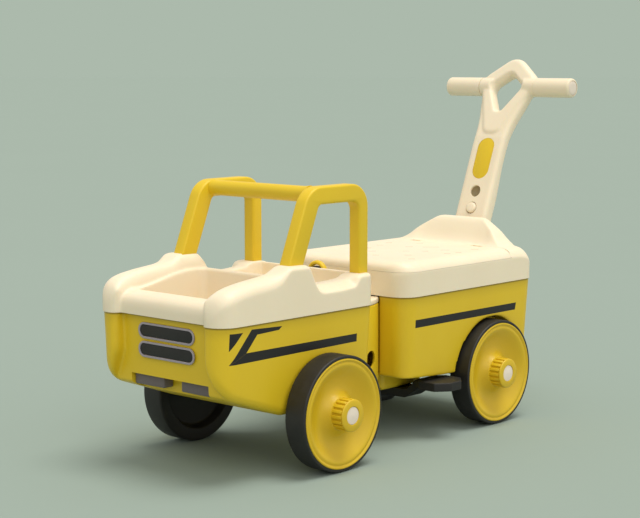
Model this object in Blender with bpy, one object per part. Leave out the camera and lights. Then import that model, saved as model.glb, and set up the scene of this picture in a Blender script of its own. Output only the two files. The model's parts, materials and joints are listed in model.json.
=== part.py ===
"""Articulated toddler ride-on truck: front cab unit, rear seat unit, push handle.

Metres, +Z up, the truck drives towards -Y and its left side is +X. Every size is
measured from the front axle line; the last step moves the whole truck so that its
origin is on the ground under the middle of its bounding box.
"""
import math

import bmesh
import bpy
from mathutils import Vector

# Overall body
HALF_WIDTH = 0.125
SPLIT_Z = 0.215
DRAFT = 0.06
WALL = 0.0032
SEAM = 0.0003
INNER_DROP = 0.025
RUNNING = 0.0005

# Front unit
FRONT_Y = -0.1965
PANEL_Y = -0.179
LIP_Y = -0.185
STEP_X = HALF_WIDTH - 0.040
PONTOON_OUT_R = 0.028
PONTOON_IN_R = 0.012
FRONT_REAR_Y = 0.106
REAR_CORNER_R = 0.020
FRONT_FLOOR_Z = 0.0822
FRONT_SLOPE_Y = -0.0720
NOSE_R = 0.050
NOSE_Z = 0.1248
TUB_EDGE_R = 0.009
PANEL_LOW_Z = 0.1325
PANEL_FLARE_Z = 0.165
PANEL_FLARE = 0.45

# Rear unit
REAR_FRONT_Y = 0.170
REAR_BACK_Y = 0.497
REAR_CORNER = 0.030
REAR_FLOOR_FRONT_Z = 0.0965
REAR_FLOOR_BACK_Z = 0.0865
BELLY_BREAK_Y = 0.272
KEEL_HALF = 0.058
KEEL_Y = (0.196, 0.294)
KEEL_Z = 0.067
KEEL_TOP_Z = KEEL_Z + 0.043
KEEL_EDGE = 0.008
LID_SEAM_Z = 0.2512
LID_TOP_Z = 0.2655
LID_REAR_Y = 0.4275
LID_GAP = 0.0008
DECK_ROUND = 0.014
DECK_RUN = 0.021
HUMP_TOP_HALF = 0.043
HUMP_FOOT_HALF = HALF_WIDTH - 0.022
HUMP_HEIGHT = 0.0405
HUMP_BACK_Y = 0.4735
STORAGE_HALF = HALF_WIDTH - 0.021
STORAGE_FRONT_EDGE = 0.020
STORAGE_BACK_EDGE = 0.018
STORAGE_CORNER_R = 0.012

DECK_START = LID_REAR_Y + LID_GAP
HUMP_RISE = [(DECK_START, 0.02), (0.4340, 0.10), (0.4400, 0.30), (0.4460, 0.58),
             (0.4520, 0.84), (0.4580, 0.97), (0.4640, 1.0), (0.4700, 1.0), (HUMP_BACK_Y, 0.97),
             (HUMP_BACK_Y + 0.0015, 0.0)]
DECK_TOP = [(DECK_START, LID_TOP_Z), (0.4800, 0.2645), (0.4880, 0.2620), (0.4935, 0.2570),
            (REAR_BACK_Y, 0.2460)]
DECK_STATIONS = (0.4800, 0.4850, 0.4890, 0.4925, 0.4955)
DECK_INNER_STATIONS = (0.4400, 0.4460, 0.4520, 0.4600)
DECK_LAST_INNER = 0.4860
HINGE_R = 0.0045
LID_FRONT_R = 0.020
LID_SIDE_RUN = 0.022
HINGE_Y = LID_REAR_Y - HINGE_R
HINGE_Z = LID_TOP_Z - HINGE_R - 0.0003
HINGE_PIN_R = 0.0018
PIN_X = HALF_WIDTH - 0.039
KNUCKLE_X = (PIN_X - 0.034, PIN_X - 0.016)

# Wheels
TYRE_R = 0.080
TYRE_WIDTH = 0.0358
AXLE_Z = TYRE_R
REAR_AXLE_Y = 0.3854
FRONT_WHEEL_OUT = 0.0338
FRONT_TRACK_HALF = HALF_WIDTH + FRONT_WHEEL_OUT
REAR_WHEEL_OUT = 0.0122
REAR_TRACK_HALF = HALF_WIDTH + REAR_WHEEL_OUT
TREAD_RIM = 0.0044
COVER_R = TYRE_R - TREAD_RIM
HUB_R = 0.0225
HUB_OUT = 0.0162
WEB_OUT = 0.0160
WEB_T = 0.0035
CAP_R = 0.0122
KNURL_DEPTH = 0.0018
WHEEL_SEGMENTS = 24
AXLE_R = 0.005
HOUSING_R = 0.0145
WELL_R = TYRE_R + 0.005
WELL_SIDE_GAP = 0.0035

# Steering joint
PIVOT_Y = 0.120
DRUM_R = 0.0894
DRUM_TOP_Z = 0.205
DRUM_CAP_T = 0.0085
DRUM_LOW_Z = 0.088
DRUM_RECESS_GAP = 0.0012
SIDE_OPENING_R = 0.0125
PIN_R = 0.006
PIN_HEAD_R = 0.0095
PIN_HEAD_H = 0.0432
HOOP_R = 0.0150
HOOP_Z = 0.2475
HOOP_T = 0.0032
HOOP_W = 0.0045
ARM_Z = 0.140
ARM_T = 0.018
ARM_HALF = 0.019
ARM_FLANGE_HALF = 0.030
ARM_EYE_R = 0.0100
BUSH_R = 0.0078
BUSH_PLAY = 0.0001
BUSH_SEGMENTS = 16
STEER_DEG = 22.0

# Roll cage
CAGE_X = HALF_WIDTH - 0.0216
CAGE_W = 0.020
CAGE_TOP_Z = 0.3855
CAGE_UNDER_Z = 0.361
CAGE_POST_Y = (0.0822, 0.1014)
CAGE_FOOT_Y = (-0.0600, -0.0304)
CAGE_FOOT_Z = 0.2835
CAGE_RAKE = 0.40
CAGE_PLUG = 0.012
CAGE_EDGE_R = 0.0045
POST_FOOT_Z = 0.259
CROSS_BAR_R = 0.011
CROSS_BAR_Y = 0.003
CROSS_BAR_Z = 0.374

# Front trim and cover: (y, height) tables seen from the side
GRILLE_SLOTS = {"upper": (0.1835, 0.2055), "lower": (0.1580, 0.1800)}
GRILLE_HALF = 0.0545
GRILLE_DEPTH = 0.0016
GRILLE_RIM = 0.0030
BLOCK_X = (0.017, STEP_X - 0.010)
BLOCK_Y = (-0.168, -0.150)
BLOCK_Z = (0.1165, 0.1322)
BLOCK_EDGE = 0.0015
CREST = [(FRONT_Y, 0.2265), (-0.1955, 0.2365), (-0.1920, 0.2465), (-0.1860, 0.2545),
         (-0.1760, 0.2605), (-0.1636, 0.2640), (-0.1360, 0.2684), (-0.1000, 0.2720),
         (-0.0850, 0.2740), (-0.0760, 0.2785), (-0.0690, 0.2825), (-0.0640, CAGE_FOOT_Z),
         (-0.0300, CAGE_FOOT_Z - 0.0015), (-0.0235, 0.2760), (-0.0140, 0.2620), (-0.0060, 0.2565),
         (0.0050, 0.2555), (0.0350, 0.2560), (0.0610, 0.2575), (0.0690, 0.2592),
         (0.0760, 0.2600), (0.1000, 0.2600), (0.1040, 0.2575), (FRONT_REAR_Y, 0.2510)]
SIDE_DROP = [(FRONT_Y, 0.010), (-0.1760, 0.014), (-0.1000, 0.015), (-0.0850, 0.012),
             (-0.0690, 0.004), (-0.0300, 0.004), (-0.0140, 0.013), (0.0610, 0.0155),
             (0.0700, 0.004), (FRONT_REAR_Y, 0.004)]
SIDE_RUN = [(FRONT_Y, 0.018), (-0.1000, 0.020), (-0.0690, 0.008), (-0.0300, 0.008),
            (-0.0140, 0.020), (0.0610, 0.021), (0.0700, 0.008), (FRONT_REAR_Y, 0.006)]
VALLEY = [(FRONT_Y, 0.2455), (-0.1600, 0.2455), (-0.1470, 0.2460), (-0.1300, 0.2490),
          (-0.1110, 0.2535), (-0.0860, 0.2590), (-0.0610, 0.2620), (-0.0240, 0.2620),
          (-0.0140, 0.2600), (0.0000, 0.2545), (0.0610, 0.2550), (0.0760, 0.2590),
          (0.1000, 0.2590), (0.1040, 0.2565), (FRONT_REAR_Y, 0.2500)]
VALLEY_EDGE_X = HALF_WIDTH - 0.041
BASIN_HALF = VALLEY_EDGE_X - 0.003
BASIN_Y = (-0.161, -0.031)
BASIN_FLOOR_Z = 0.152
TROUGH_Y = (-0.021, 0.094)
TROUGH_HALF = HALF_WIDTH - 0.0365
TROUGH_FLOOR_Z = 0.224
TROUGH_MOUTH_RISE = 0.076
CREST_IN_X = HALF_WIDTH - 0.028
COVER_STATIONS = (-0.1500, -0.1180, 0.0900)
COVER_INNER_STATIONS = (-0.1860, -0.1700, -0.1000, -0.0800, -0.0660, -0.0300, -0.0220,
                        -0.0080, 0.0300, 0.0620, 0.0720, 0.0980)
LIP_RISE = [(0.0, 0.2280), (0.0015, 0.2350), (0.0060, 0.2410), (0.0130, 0.2445), (0.0200, 0.2470)]
LIP_INNER_RISE = [(WALL, 0.2270), (0.0085, 0.2360), (0.0150, 0.2400), (0.0250, 0.2415)]

# Push handle
HANDLE_RAKE = math.atan(0.390)
HANDLE_REF = (0.4999, 0.3443)
HANDLE_HALF = 0.031
HANDLE_T = 0.024
HANDLE_T_TOP = 0.020
HANDLE_EDGE_R = 0.007
HANDLE_WALL = 0.004
HANDLE_LOW = -0.165
HANDLE_BEND = 0.072
NECK_PROUD = 0.003
LOOP_RAKE = math.radians(31.0)
LOOP_CENTRE = (0.593, 0.510)
LOOP_T = 0.024
GRIP_R = 0.0155
GRIP_END_X = 0.1229
GRIP_START_X = 0.054
STUB_R = 0.009
STUB_END_X = 0.085
INLAY_HALF = 0.016
INLAY_S = (0.021, 0.091)
HOLE_R = 0.0098
BUTTON_R = 0.0092
BUTTON_S = -0.0285
BUTTON_OUT = 0.0035
SPRING_HALF = 0.006
SPRING_T = 0.0008
POST_HALF = 0.024
POST_T = 0.006
POST_TOP_S = -0.017
SOCKET_S = (-0.235, -0.100)
SOCKET_WALL = 0.003
SOCKET_FOOT_Z = 0.0912

LOOP_OUTER = [(0.0, 0.0580, 0.024), (0.0580, 0.0100, 0.024), (0.0150, -0.0950, 0.016),
              (-0.0150, -0.0950, 0.016), (-0.0580, 0.0100, 0.024)]
LOOP_HOLE = [(0.0, 0.0210, 0.010), (0.0300, -0.0030, 0.012), (0.0, -0.0560, 0.008),
             (-0.0300, -0.0030, 0.012)]
NECK = [(-0.0980, 0.0315), (-0.0820, 0.0325), (-0.0640, 0.0355), (-0.0440, 0.0410),
        (-0.0220, 0.0460), (0.0, 0.0490)]

# Footrest
PAD_X = (HALF_WIDTH - 0.031, HALF_WIDTH + 0.024)
PAD_Y = (0.228, 0.292)
PAD_TOP_Z = 0.085
PAD_T = 0.013
BAR_TOP_Z = KEEL_Z - SEAM
BAR_LOW_Z = 0.053
BAR_Y = (0.236, 0.278)
HUB_BOSS_R = 0.030
HUB_BOSS_Z = 0.041
FOOT_Y = (PAD_Y[0] + PAD_Y[1]) / 2 - 0.004
FOOT_SCREW_R = 0.003
FOOT_SCREW_TOP = 0.088
FOOT_HEAD_R = 0.0065
FOOT_HEAD_T = 0.0045

# Cutters reach this far past the truck
FAR = 0.60

# Colours
YELLOW = (0.60, 0.42, 0.03)
CREAM = (0.82, 0.72, 0.52)
BLACK = (0.025, 0.024, 0.023)
GREY = (0.16, 0.13, 0.14)
LAVENDER = (0.42, 0.38, 0.42)
STEEL = (0.55, 0.55, 0.56)
WHITE = (0.75, 0.70, 0.64)


def clear_scene():
    for obj in list(bpy.data.objects):
        bpy.data.objects.remove(obj, do_unlink=True)


def finish(name, colour, roughness=0.45, metallic=0.0):
    """One Principled material for one piece."""
    mat = bpy.data.materials.new(name)
    mat.use_nodes = True
    shader = mat.node_tree.nodes["Principled BSDF"]
    shader.inputs["Base Color"].default_value = (*colour, 1.0)
    shader.inputs["Roughness"].default_value = roughness
    shader.inputs["Metallic"].default_value = metallic
    return mat


def empty(name, location, parent=None):
    obj = bpy.data.objects.new(name, None)
    bpy.context.scene.collection.objects.link(obj)
    obj["at"] = tuple(location)
    obj.location = location
    if parent is not None:
        obj.parent = parent
        obj.location = Vector(location) - Vector(parent["at"])
    return obj


def hang(obj, parent):
    """Parent an object whose mesh is drawn in the truck's own coordinates."""
    obj.parent = parent
    obj.location = -Vector(parent["at"])


def from_bmesh(name, bm, sharp_deg=32.0):
    bmesh.ops.recalc_face_normals(bm, faces=bm.faces)
    mesh = bpy.data.meshes.new(name)
    bm.to_mesh(mesh)
    bm.free()
    mesh.shade_smooth()
    mesh.set_sharp_from_angle(angle=math.radians(sharp_deg))
    obj = bpy.data.objects.new(name, mesh)
    bpy.context.scene.collection.objects.link(obj)
    return obj


def piece(obj, parent, colour, roughness=0.45, metallic=0.0):
    obj.data.materials.append(finish(obj.name, colour, roughness, metallic))
    hang(obj, parent)
    return obj


def tool(obj, parent):
    """A cutter or a joined block: used by a Boolean, never built by itself."""
    obj.hide_render = True
    obj.display_type = "WIRE"
    hang(obj, parent)
    return obj


def boolean(target, other, operation="DIFFERENCE"):
    mod = target.modifiers.new(operation.lower(), "BOOLEAN")
    mod.operation = operation
    mod.object = other
    mod.solver = "EXACT"
    return target


def bevel(target, width, segments=2, angle=40.0):
    mod = target.modifiers.new("edges", "BEVEL")
    mod.width = width
    mod.segments = segments
    mod.limit_method = "ANGLE"
    mod.angle_limit = math.radians(angle)
    return target


def rounded(corners, steps=4):
    """Outline through (x, y, radius) corners, each drawn as an arc of its radius."""
    points = []
    count = len(corners)
    for i, (x, y, radius) in enumerate(corners):
        if radius <= 0.0:
            points.append((x, y))
            continue
        here = Vector((x, y))
        back = (Vector(corners[i - 1][:2]) - here).normalized()
        ahead = (Vector(corners[(i + 1) % count][:2]) - here).normalized()
        half = back.angle(ahead) / 2
        reach = radius / math.tan(half)
        centre = here + (back + ahead).normalized() * (radius / math.sin(half))
        start = here + back * reach - centre
        end = here + ahead * reach - centre
        turn = start.angle_signed(end)
        base = math.atan2(start.y, start.x)
        for k in range(steps + 1):
            a = base - turn * k / steps
            points.append((centre.x + radius * math.cos(a), centre.y + radius * math.sin(a)))
    return points


def loft(name, rings, sharp_deg=32.0):
    """Closed solid through rings of equal length, capped at both ends."""
    bm = bmesh.new()
    rows = [[bm.verts.new(p) for p in ring] for ring in rings]
    for low, high in zip(rows, rows[1:]):
        for k in range(len(low)):
            n = (k + 1) % len(low)
            bm.faces.new((low[k], low[n], high[n], high[k]))
    bm.faces.new(list(reversed(rows[0])))
    bm.faces.new(rows[-1])
    return from_bmesh(name, bm, sharp_deg)


def prism(name, outline, low, high, axis="x", sharp_deg=32.0):
    """An outline drawn across one axis and extruded along it from low to high."""
    def at(p, level):
        if axis == "x":
            return (level, p[0], p[1])
        if axis == "y":
            return (p[0], level, p[1])
        return (p[0], p[1], level)
    return loft(name, [[at(p, low) for p in outline], [at(p, high) for p in outline]], sharp_deg)


def box(name, x, y, z):
    corners = [(x[0], y[0]), (x[1], y[0]), (x[1], y[1]), (x[0], y[1])]
    return prism(name, corners, z[0], z[1], "z")


def revolve(name, profile, segments, place, ribs=None, sharp_deg=32.0):
    """Turn a closed profile of (along, radius) about an axis; place maps it to space.

    ribs maps a profile index to the depth by which every other pair of segments sinks.
    """
    bm = bmesh.new()
    rows = []
    for s in range(segments):
        angle = 2 * math.pi * s / segments
        row = []
        for k, (along, radius) in enumerate(profile):
            sink = ribs[k] if ribs and k in ribs and s % 2 else 0.0
            r = radius - sink
            row.append(bm.verts.new(place(along, r * math.cos(angle), r * math.sin(angle))))
        rows.append(row)
    count = len(profile)
    for s in range(segments):
        here, ahead = rows[s], rows[(s + 1) % segments]
        for k in range(count):
            n = (k + 1) % count
            quad = (here[k], here[n], ahead[n], ahead[k])
            bm.faces.new(quad)
    return from_bmesh(name, bm, sharp_deg)


def along_x(y, z, flip=1.0):
    return lambda a, u, v: (flip * a, y + u, z + flip * v)


def along_z(x, y):
    return lambda a, u, v: (x + u, y + v, a)


def rod(name, place, low, high, radius, segments=16):
    """Solid cylinder with flat ends."""
    rings = []
    for level in (low, high):
        turn = [2 * math.pi * s / segments for s in range(segments)]
        rings.append([place(level, radius * math.cos(t), radius * math.sin(t)) for t in turn])
    return loft(name, rings)


def stepped_rod(name, place, profile, segments=16):
    """Solid turned from rising (along, radius) steps, closed at both ends."""
    rings = []
    for level, radius in profile:
        turn = [2 * math.pi * s / segments for s in range(segments)]
        rings.append([place(level, radius * math.cos(t), radius * math.sin(t)) for t in turn])
    return loft(name, rings)


def between(table, y):
    """Straight-line reading of a table of (y, value) pairs."""
    if y <= table[0][0]:
        return table[0][1]
    for (y0, v0), (y1, v1) in zip(table, table[1:]):
        if y <= y1:
            return v0 + (v1 - v0) * (y - y0) / (y1 - y0)
    return table[-1][1]


def plan_width(y, front, back, front_r, back_r, half, inset=0.0):
    """Half width of a rounded plan at y, with the wall moved in by inset."""
    front, back, half = front + inset, back - inset, half - inset
    fr, br = max(front_r - inset, 0.002), max(back_r - inset, 0.002)
    if y < front + fr:
        d = max(0.0, front + fr - y)
        return half - fr + math.sqrt(max(fr * fr - d * d, 0.0))
    if y > back - br:
        d = max(0.0, y - back + br)
        return half - br + math.sqrt(max(br * br - d * d, 0.0))
    return half


# Front unit

def front_side_outline():
    """Lower edge of the front tub seen from the side: rounded nose, slope, level floor."""
    return rounded([
        (FRONT_Y - SEAM, SPLIT_Z, 0.0),
        (FRONT_Y + 0.0020, NOSE_Z, NOSE_R),
        (FRONT_SLOPE_Y, FRONT_FLOOR_Z, 0.02),
        (FRONT_REAR_Y, FRONT_FLOOR_Z, 0.0),
        (FRONT_REAR_Y, SPLIT_Z, 0.0),
    ], 5)


def belly_line(y):
    """Height of the sloping belly at y."""
    slope = (FRONT_FLOOR_Z - NOSE_Z) / (FRONT_SLOPE_Y - FRONT_Y)
    return NOSE_Z + slope * (y - FRONT_Y)


def drafted(name, plan, top, low):
    """Tub solid: the plan at the split line, narrowing downwards by the draft."""
    rings = []
    for z in (low, top):
        inset = DRAFT * (SPLIT_Z - z)
        rings.append([(x, y, z) for x, y in plan(inset)])
    return loft(name, rings)


def front_tub_ring(y, low):
    """Cross-section of the front tub, narrowing downwards, with round lower edges."""
    width = plan_width(y, FRONT_Y, FRONT_REAR_Y, PONTOON_OUT_R, REAR_CORNER_R, HALF_WIDTH)
    r = min(TUB_EDGE_R, (SPLIT_Z - low) * 0.3)
    foot = width - DRAFT * (SPLIT_Z - low)
    half = [(width, SPLIT_Z), (foot + DRAFT * r, low + r)]
    for k in (1, 2):
        a = math.radians(30 * k)
        half.append((foot - r + r * math.cos(a), low + r - r * math.sin(a)))
    half.append((foot - r, low))
    mirrored = [(-x, z) for x, z in reversed(half)]
    return [(x, y, z) for x, z in half + mirrored]


def front_tub_stations():
    """Places along the truck and the tub's lower edge there."""
    arc = front_side_outline()[1:-2]
    stations = [(FRONT_Y, arc[0][1])]
    stations += [(y, z) for y, z in arc if FRONT_Y + 0.0005 < y < FRONT_REAR_Y - REAR_CORNER_R]
    for turn in (0.0, 30.0, 60.0, 80.0, 90.0):
        y = FRONT_REAR_Y - REAR_CORNER_R + REAR_CORNER_R * math.sin(math.radians(turn))
        stations.append((y, FRONT_FLOOR_Z))
    return stations


def panel_recess():
    """Space in front of the middle panel, widening round the pontoons' inner corners."""
    rings = []
    for z in (PANEL_LOW_Z - 0.015, PANEL_FLARE_Z, SPLIT_Z + 0.01):
        back = PANEL_Y + DRAFT * (SPLIT_Z - z)
        r = PONTOON_IN_R
        step = STEP_X + PANEL_FLARE * max(0.0, PANEL_FLARE_Z - z)
        ring = [(step, back)]
        for k in range(4):
            a = math.radians(180 + 30 * k)
            ring.append((step + r + r * math.cos(a), FRONT_Y + r + r * math.sin(a)))
        ring.append((step + r, FRONT_Y - 0.02))
        ring += [(-x, y) for x, y in reversed(ring)]
        rings.append([(x, y, z) for x, y in ring])
    return loft("panel_recess", rings)


def build_front_tub(body):
    tub = loft("front_tub", [front_tub_ring(y, low) for y, low in front_tub_stations()])
    boolean(tub, tool(panel_recess(), body))
    # Hollow, kept clear of the axle groove and of the bumper step
    inner_front = PANEL_Y + WALL
    hollow_plan = []
    for z in (0.060, SPLIT_Z + 0.01):
        d = DRAFT * (SPLIT_Z - z)
        half, front, back = HALF_WIDTH - WALL - d, inner_front + d, FRONT_REAR_Y - WALL - d
        ring = rounded([(half, front, 0.016), (half, back, 0.016), (-half, back, 0.016),
                        (-half, front, 0.016)], 3)
        hollow_plan.append([(x, y, z) for x, y in ring])
    hollow = tool(loft("front_hollow", hollow_plan), body)
    step_y = BLOCK_Y[1] + SEAM + WALL
    line_z = belly_line(step_y) + WALL + 0.001
    floor = [(-FAR, PANEL_LOW_Z + WALL), (step_y, PANEL_LOW_Z + WALL), (step_y, line_z),
             (FRONT_SLOPE_Y, FRONT_FLOOR_Z + WALL), (FAR, FRONT_FLOOR_Z + WALL), (FAR, FAR), (-FAR, FAR)]
    boolean(hollow, tool(prism("front_hollow_floor", floor, -FAR, FAR), body), "INTERSECT")
    hump = rod("front_axle_hump", along_x(0.0, AXLE_Z), -FAR, FAR, HOUSING_R + SEAM + WALL, 20)
    boolean(hollow, tool(hump, body))
    boolean(tub, hollow)
    groove = rod("front_axle_groove", along_x(0.0, AXLE_Z), -FAR, FAR, HOUSING_R + SEAM, 20)
    boolean(tub, tool(groove, body))
    # Step under the panel that takes the two bumper blocks
    step = box("front_bumper_step", (-BLOCK_X[1] - SEAM, BLOCK_X[1] + SEAM),
               (-FAR, BLOCK_Y[1] + SEAM), (0.0, PANEL_LOW_Z))
    boolean(tub, tool(step, body))
    for name, (low, high) in GRILLE_SLOTS.items():
        cutter = slot_prism("pocket_" + name, low - SEAM, high + SEAM, GRILLE_HALF + SEAM,
                            PANEL_Y - 0.01, PANEL_Y + GRILLE_DEPTH + SEAM)
        boolean(tub, tool(cutter, body))
    piece(tub, body, YELLOW)


def slot_prism(name, low, high, half, y0, y1):
    r = (high - low) / 2 - 0.0001
    outline = rounded([(half, low, r), (half, high, r), (-half, high, r), (-half, low, r)], 4)
    return prism(name, outline, y0, y1, "y")


def build_front_trim(body):
    for name, (low, high) in GRILLE_SLOTS.items():
        rim = slot_prism("bezel_" + name, low, high, GRILLE_HALF, PANEL_Y - 0.0008,
                         PANEL_Y + GRILLE_DEPTH)
        hole = slot_prism("bezel_hole_" + name, low + GRILLE_RIM, high - GRILLE_RIM,
                          GRILLE_HALF - GRILLE_RIM, PANEL_Y - 0.02, PANEL_Y + 0.02)
        boolean(rim, tool(hole, body))
        piece(rim, body, LAVENDER, 0.35)
        inset = GRILLE_RIM + SEAM
        lens = slot_prism("grille_" + name, low + inset, high - inset, GRILLE_HALF - inset,
                          PANEL_Y - 0.0002, PANEL_Y + GRILLE_DEPTH)
        piece(lens, body, BLACK, 0.3)
    for side, flip in (("left", 1), ("right", -1)):
        x = sorted((flip * BLOCK_X[0], flip * BLOCK_X[1]))
        block = box("bumper_block_" + side, x, BLOCK_Y, BLOCK_Z)
        bevel(block, BLOCK_EDGE, 1)
        piece(block, body, GREY, 0.5)


def cover_ring(y, inset, low):
    width = plan_width(y, FRONT_Y, FRONT_REAR_Y, PONTOON_OUT_R, REAR_CORNER_R, HALF_WIDTH, inset)
    crest = between(CREST, y) - inset
    valley = min(between(VALLEY, y) - inset, crest - 0.001)
    drop, run = between(SIDE_DROP, y), between(SIDE_RUN, y)
    half = [(width, low), (width, crest - drop)]
    for k in (1, 2):
        a = math.radians(30 * k)
        half.append((width - run + run * math.cos(a), crest - drop + drop * math.sin(a)))
    top_x = width - run
    half.append((top_x, crest))
    inner_x = max(min(top_x - 0.004, CREST_IN_X), VALLEY_EDGE_X + inset + 0.002)
    edge_x = VALLEY_EDGE_X + inset
    if inner_x > top_x - 0.001:
        inner_x = top_x - 0.001
        edge_x = inner_x - 0.002
    half.append((inner_x, crest))
    for k in (1, 2, 3):
        a = math.radians(30 * k)
        half.append((inner_x - (inner_x - edge_x) * math.sin(a),
                     valley + (crest - valley) * math.cos(a)))
    mirrored = [(-x, z) for x, z in reversed(half)]
    return [(x, y, z) for x, z in half + mirrored]


def under_valley(y0, y1):
    """Line just under the cover's inner top, from y0 to y1."""
    ys = [y0] + [y for y, _ in VALLEY if y0 + 0.001 < y < y1 - 0.001] + [y1]
    return [(y, between(VALLEY, y) - 0.0015) for y in ys]


def build_front_cover(body):
    bottom = SPLIT_Z + SEAM
    stations = sorted({y for y, _ in CREST} | set(COVER_STATIONS))
    cover = loft("front_cover", [cover_ring(y, 0.0, bottom) for y in stations])
    inner_y = [FRONT_Y + WALL, *COVER_INNER_STATIONS, FRONT_REAR_Y - WALL]
    inner = loft("cover_inside", [cover_ring(y, WALL, SPLIT_Z - INNER_DROP) for y in inner_y])
    # Keep a wall behind the recessed lip
    behind = [(-FAR, 0.0), (LIP_Y + WALL, 0.0)]
    behind += [(LIP_Y + dy, z) for dy, z in LIP_INNER_RISE]
    behind += [(behind[-1][0], FAR), (-FAR, FAR)]
    half = STEP_X + WALL
    boolean(inner, tool(prism("cover_lip_wall", behind, -half, half), body))
    boolean(cover, tool(inner, body))
    y0, y1 = BASIN_Y
    t = WALL - 0.0004
    sheath = under_valley(y0 - t, y1 + t) + [(y1 + t, BASIN_FLOOR_Z - t), (y0 - t, BASIN_FLOOR_Z - t)]
    block = prism("basin_outside", sheath, -BASIN_HALF - t, BASIN_HALF + t)
    boolean(cover, tool(block, body), "UNION")
    ty0, ty1 = TROUGH_Y
    rim = [(y, z, 0.0) for y, z in under_valley(ty0 - t, ty1 + t)]
    shell = rounded(rim + [(ty1 + t, TROUGH_FLOOR_Z - t, 0.022), (ty0 - t, TROUGH_FLOOR_Z - t, 0.022)], 4)
    block = prism("trough_outside", shell, -TROUGH_HALF - t, TROUGH_HALF + t)
    boolean(cover, tool(block, body), "UNION")
    basin_rings = []
    for z, grow in ((BASIN_FLOOR_Z, -0.004), (BASIN_FLOOR_Z + 0.148, 0.0005)):
        ring = rounded([(BASIN_HALF + grow, y0 - grow, 0.008), (BASIN_HALF + grow, y1 + grow, 0.008),
                        (-BASIN_HALF - grow, y1 + grow, 0.008), (-BASIN_HALF - grow, y0 - grow, 0.008)], 3)
        basin_rings.append([(x, y, z) for x, y in ring])
    boolean(cover, tool(loft("basin_inside", basin_rings), body))
    mouth_z = TROUGH_FLOOR_Z + TROUGH_MOUTH_RISE
    trough = rounded([(ty0, mouth_z, 0.0), (ty1, mouth_z, 0.0), (ty1, TROUGH_FLOOR_Z, 0.020),
                      (ty0, TROUGH_FLOOR_Z, 0.020)], 4)
    rings = []
    for flip in (-1, 1):
        rings.append([(flip * (TROUGH_HALF + DRAFT * (z - TROUGH_FLOOR_Z - 0.036)), y, z) for y, z in trough])
    boolean(cover, tool(loft("trough_inside", rings), body))
    # Recessed lip between the two side pontoons
    lip = [(-FAR, 0.0), (LIP_Y, 0.0)] + [(LIP_Y + dy, z) for dy, z in LIP_RISE]
    lip += [(lip[-1][0], FAR), (-FAR, FAR)]
    half = VALLEY_EDGE_X - 0.0005
    boolean(cover, tool(prism("lip_notch", lip, -half, half), body))
    for side, flip in (("left", 1), ("right", -1)):
        for leg, outline in (("front", cage_leg_outline(SEAM)), ("rear", cage_post_outline(SEAM))):
            x = flip * CAGE_X
            half = CAGE_W / 2 + SEAM
            cutter = prism("pocket_" + leg + "_" + side, outline, x - half, x + half)
            boolean(cover, tool(cutter, body))
    piece(cover, body, CREAM, 0.5)


def cage_leg_outline(gap):
    """Front leg's foot, plugged into the cover."""
    low = CAGE_FOOT_Z - CAGE_PLUG - gap
    shift = CAGE_RAKE * (CAGE_FOOT_Z - low)
    rise = 0.02
    return [(CAGE_FOOT_Y[0] - shift - gap, low), (CAGE_FOOT_Y[1] - shift + gap, low),
            (CAGE_FOOT_Y[1] + CAGE_RAKE * rise + gap, CAGE_FOOT_Z + rise),
            (CAGE_FOOT_Y[0] + CAGE_RAKE * rise - gap, CAGE_FOOT_Z + rise)]


def cage_post_outline(gap):
    low = POST_FOOT_Z - CAGE_PLUG - gap
    return [(CAGE_POST_Y[0] - gap, low), (CAGE_POST_Y[1] + gap, low),
            (CAGE_POST_Y[1] + gap, POST_FOOT_Z + 0.021), (CAGE_POST_Y[0] - gap, POST_FOOT_Z + 0.021)]


def build_cage(body):
    """Two bent side frames and the round bar between them."""
    low = CAGE_FOOT_Z - CAGE_PLUG
    shift = CAGE_RAKE * CAGE_PLUG
    post_low = POST_FOOT_Z - CAGE_PLUG
    up_out = CAGE_RAKE * (CAGE_TOP_Z - CAGE_FOOT_Z)
    up_in = CAGE_RAKE * (CAGE_UNDER_Z - CAGE_FOOT_Z)
    outline = rounded([
        (CAGE_FOOT_Y[0] - shift, low, 0.0),
        (CAGE_FOOT_Y[0] + up_out, CAGE_TOP_Z, 0.034),
        (CAGE_POST_Y[1], CAGE_TOP_Z, 0.032),
        (CAGE_POST_Y[1], post_low, 0.0),
        (CAGE_POST_Y[0], post_low, 0.0),
        (CAGE_POST_Y[0], CAGE_UNDER_Z, 0.013),
        (CAGE_FOOT_Y[1] + up_in, CAGE_UNDER_Z, 0.008),
        (CAGE_FOOT_Y[1] - shift, low, 0.0),
    ], 5)
    for side, flip in (("left", 1), ("right", -1)):
        x = flip * CAGE_X
        frame = prism("cage_" + side, outline, x - CAGE_W / 2, x + CAGE_W / 2)
        bevel(frame, min(CAGE_EDGE_R, (CAGE_TOP_Z - CAGE_UNDER_Z) / 4), 2, 60.0)
        piece(frame, body, YELLOW)
    end = CAGE_X - CAGE_W / 2 - SEAM
    bar = rod("cross_bar", along_x(CROSS_BAR_Y, CROSS_BAR_Z), -end, end, CROSS_BAR_R, 16)
    piece(bar, body, YELLOW)


# Steering joint

def drum_plan(radius, flat_y):
    """Plan of the drum: a circle cut off by the back of the front unit."""
    reach = flat_y - PIVOT_Y
    start = math.asin(reach / radius)
    steps = 24
    points = []
    for k in range(steps + 1):
        a = start + (math.pi - 2 * start) * k / steps
        points.append((radius * math.cos(a), PIVOT_Y + radius * math.sin(a)))
    return points


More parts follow.
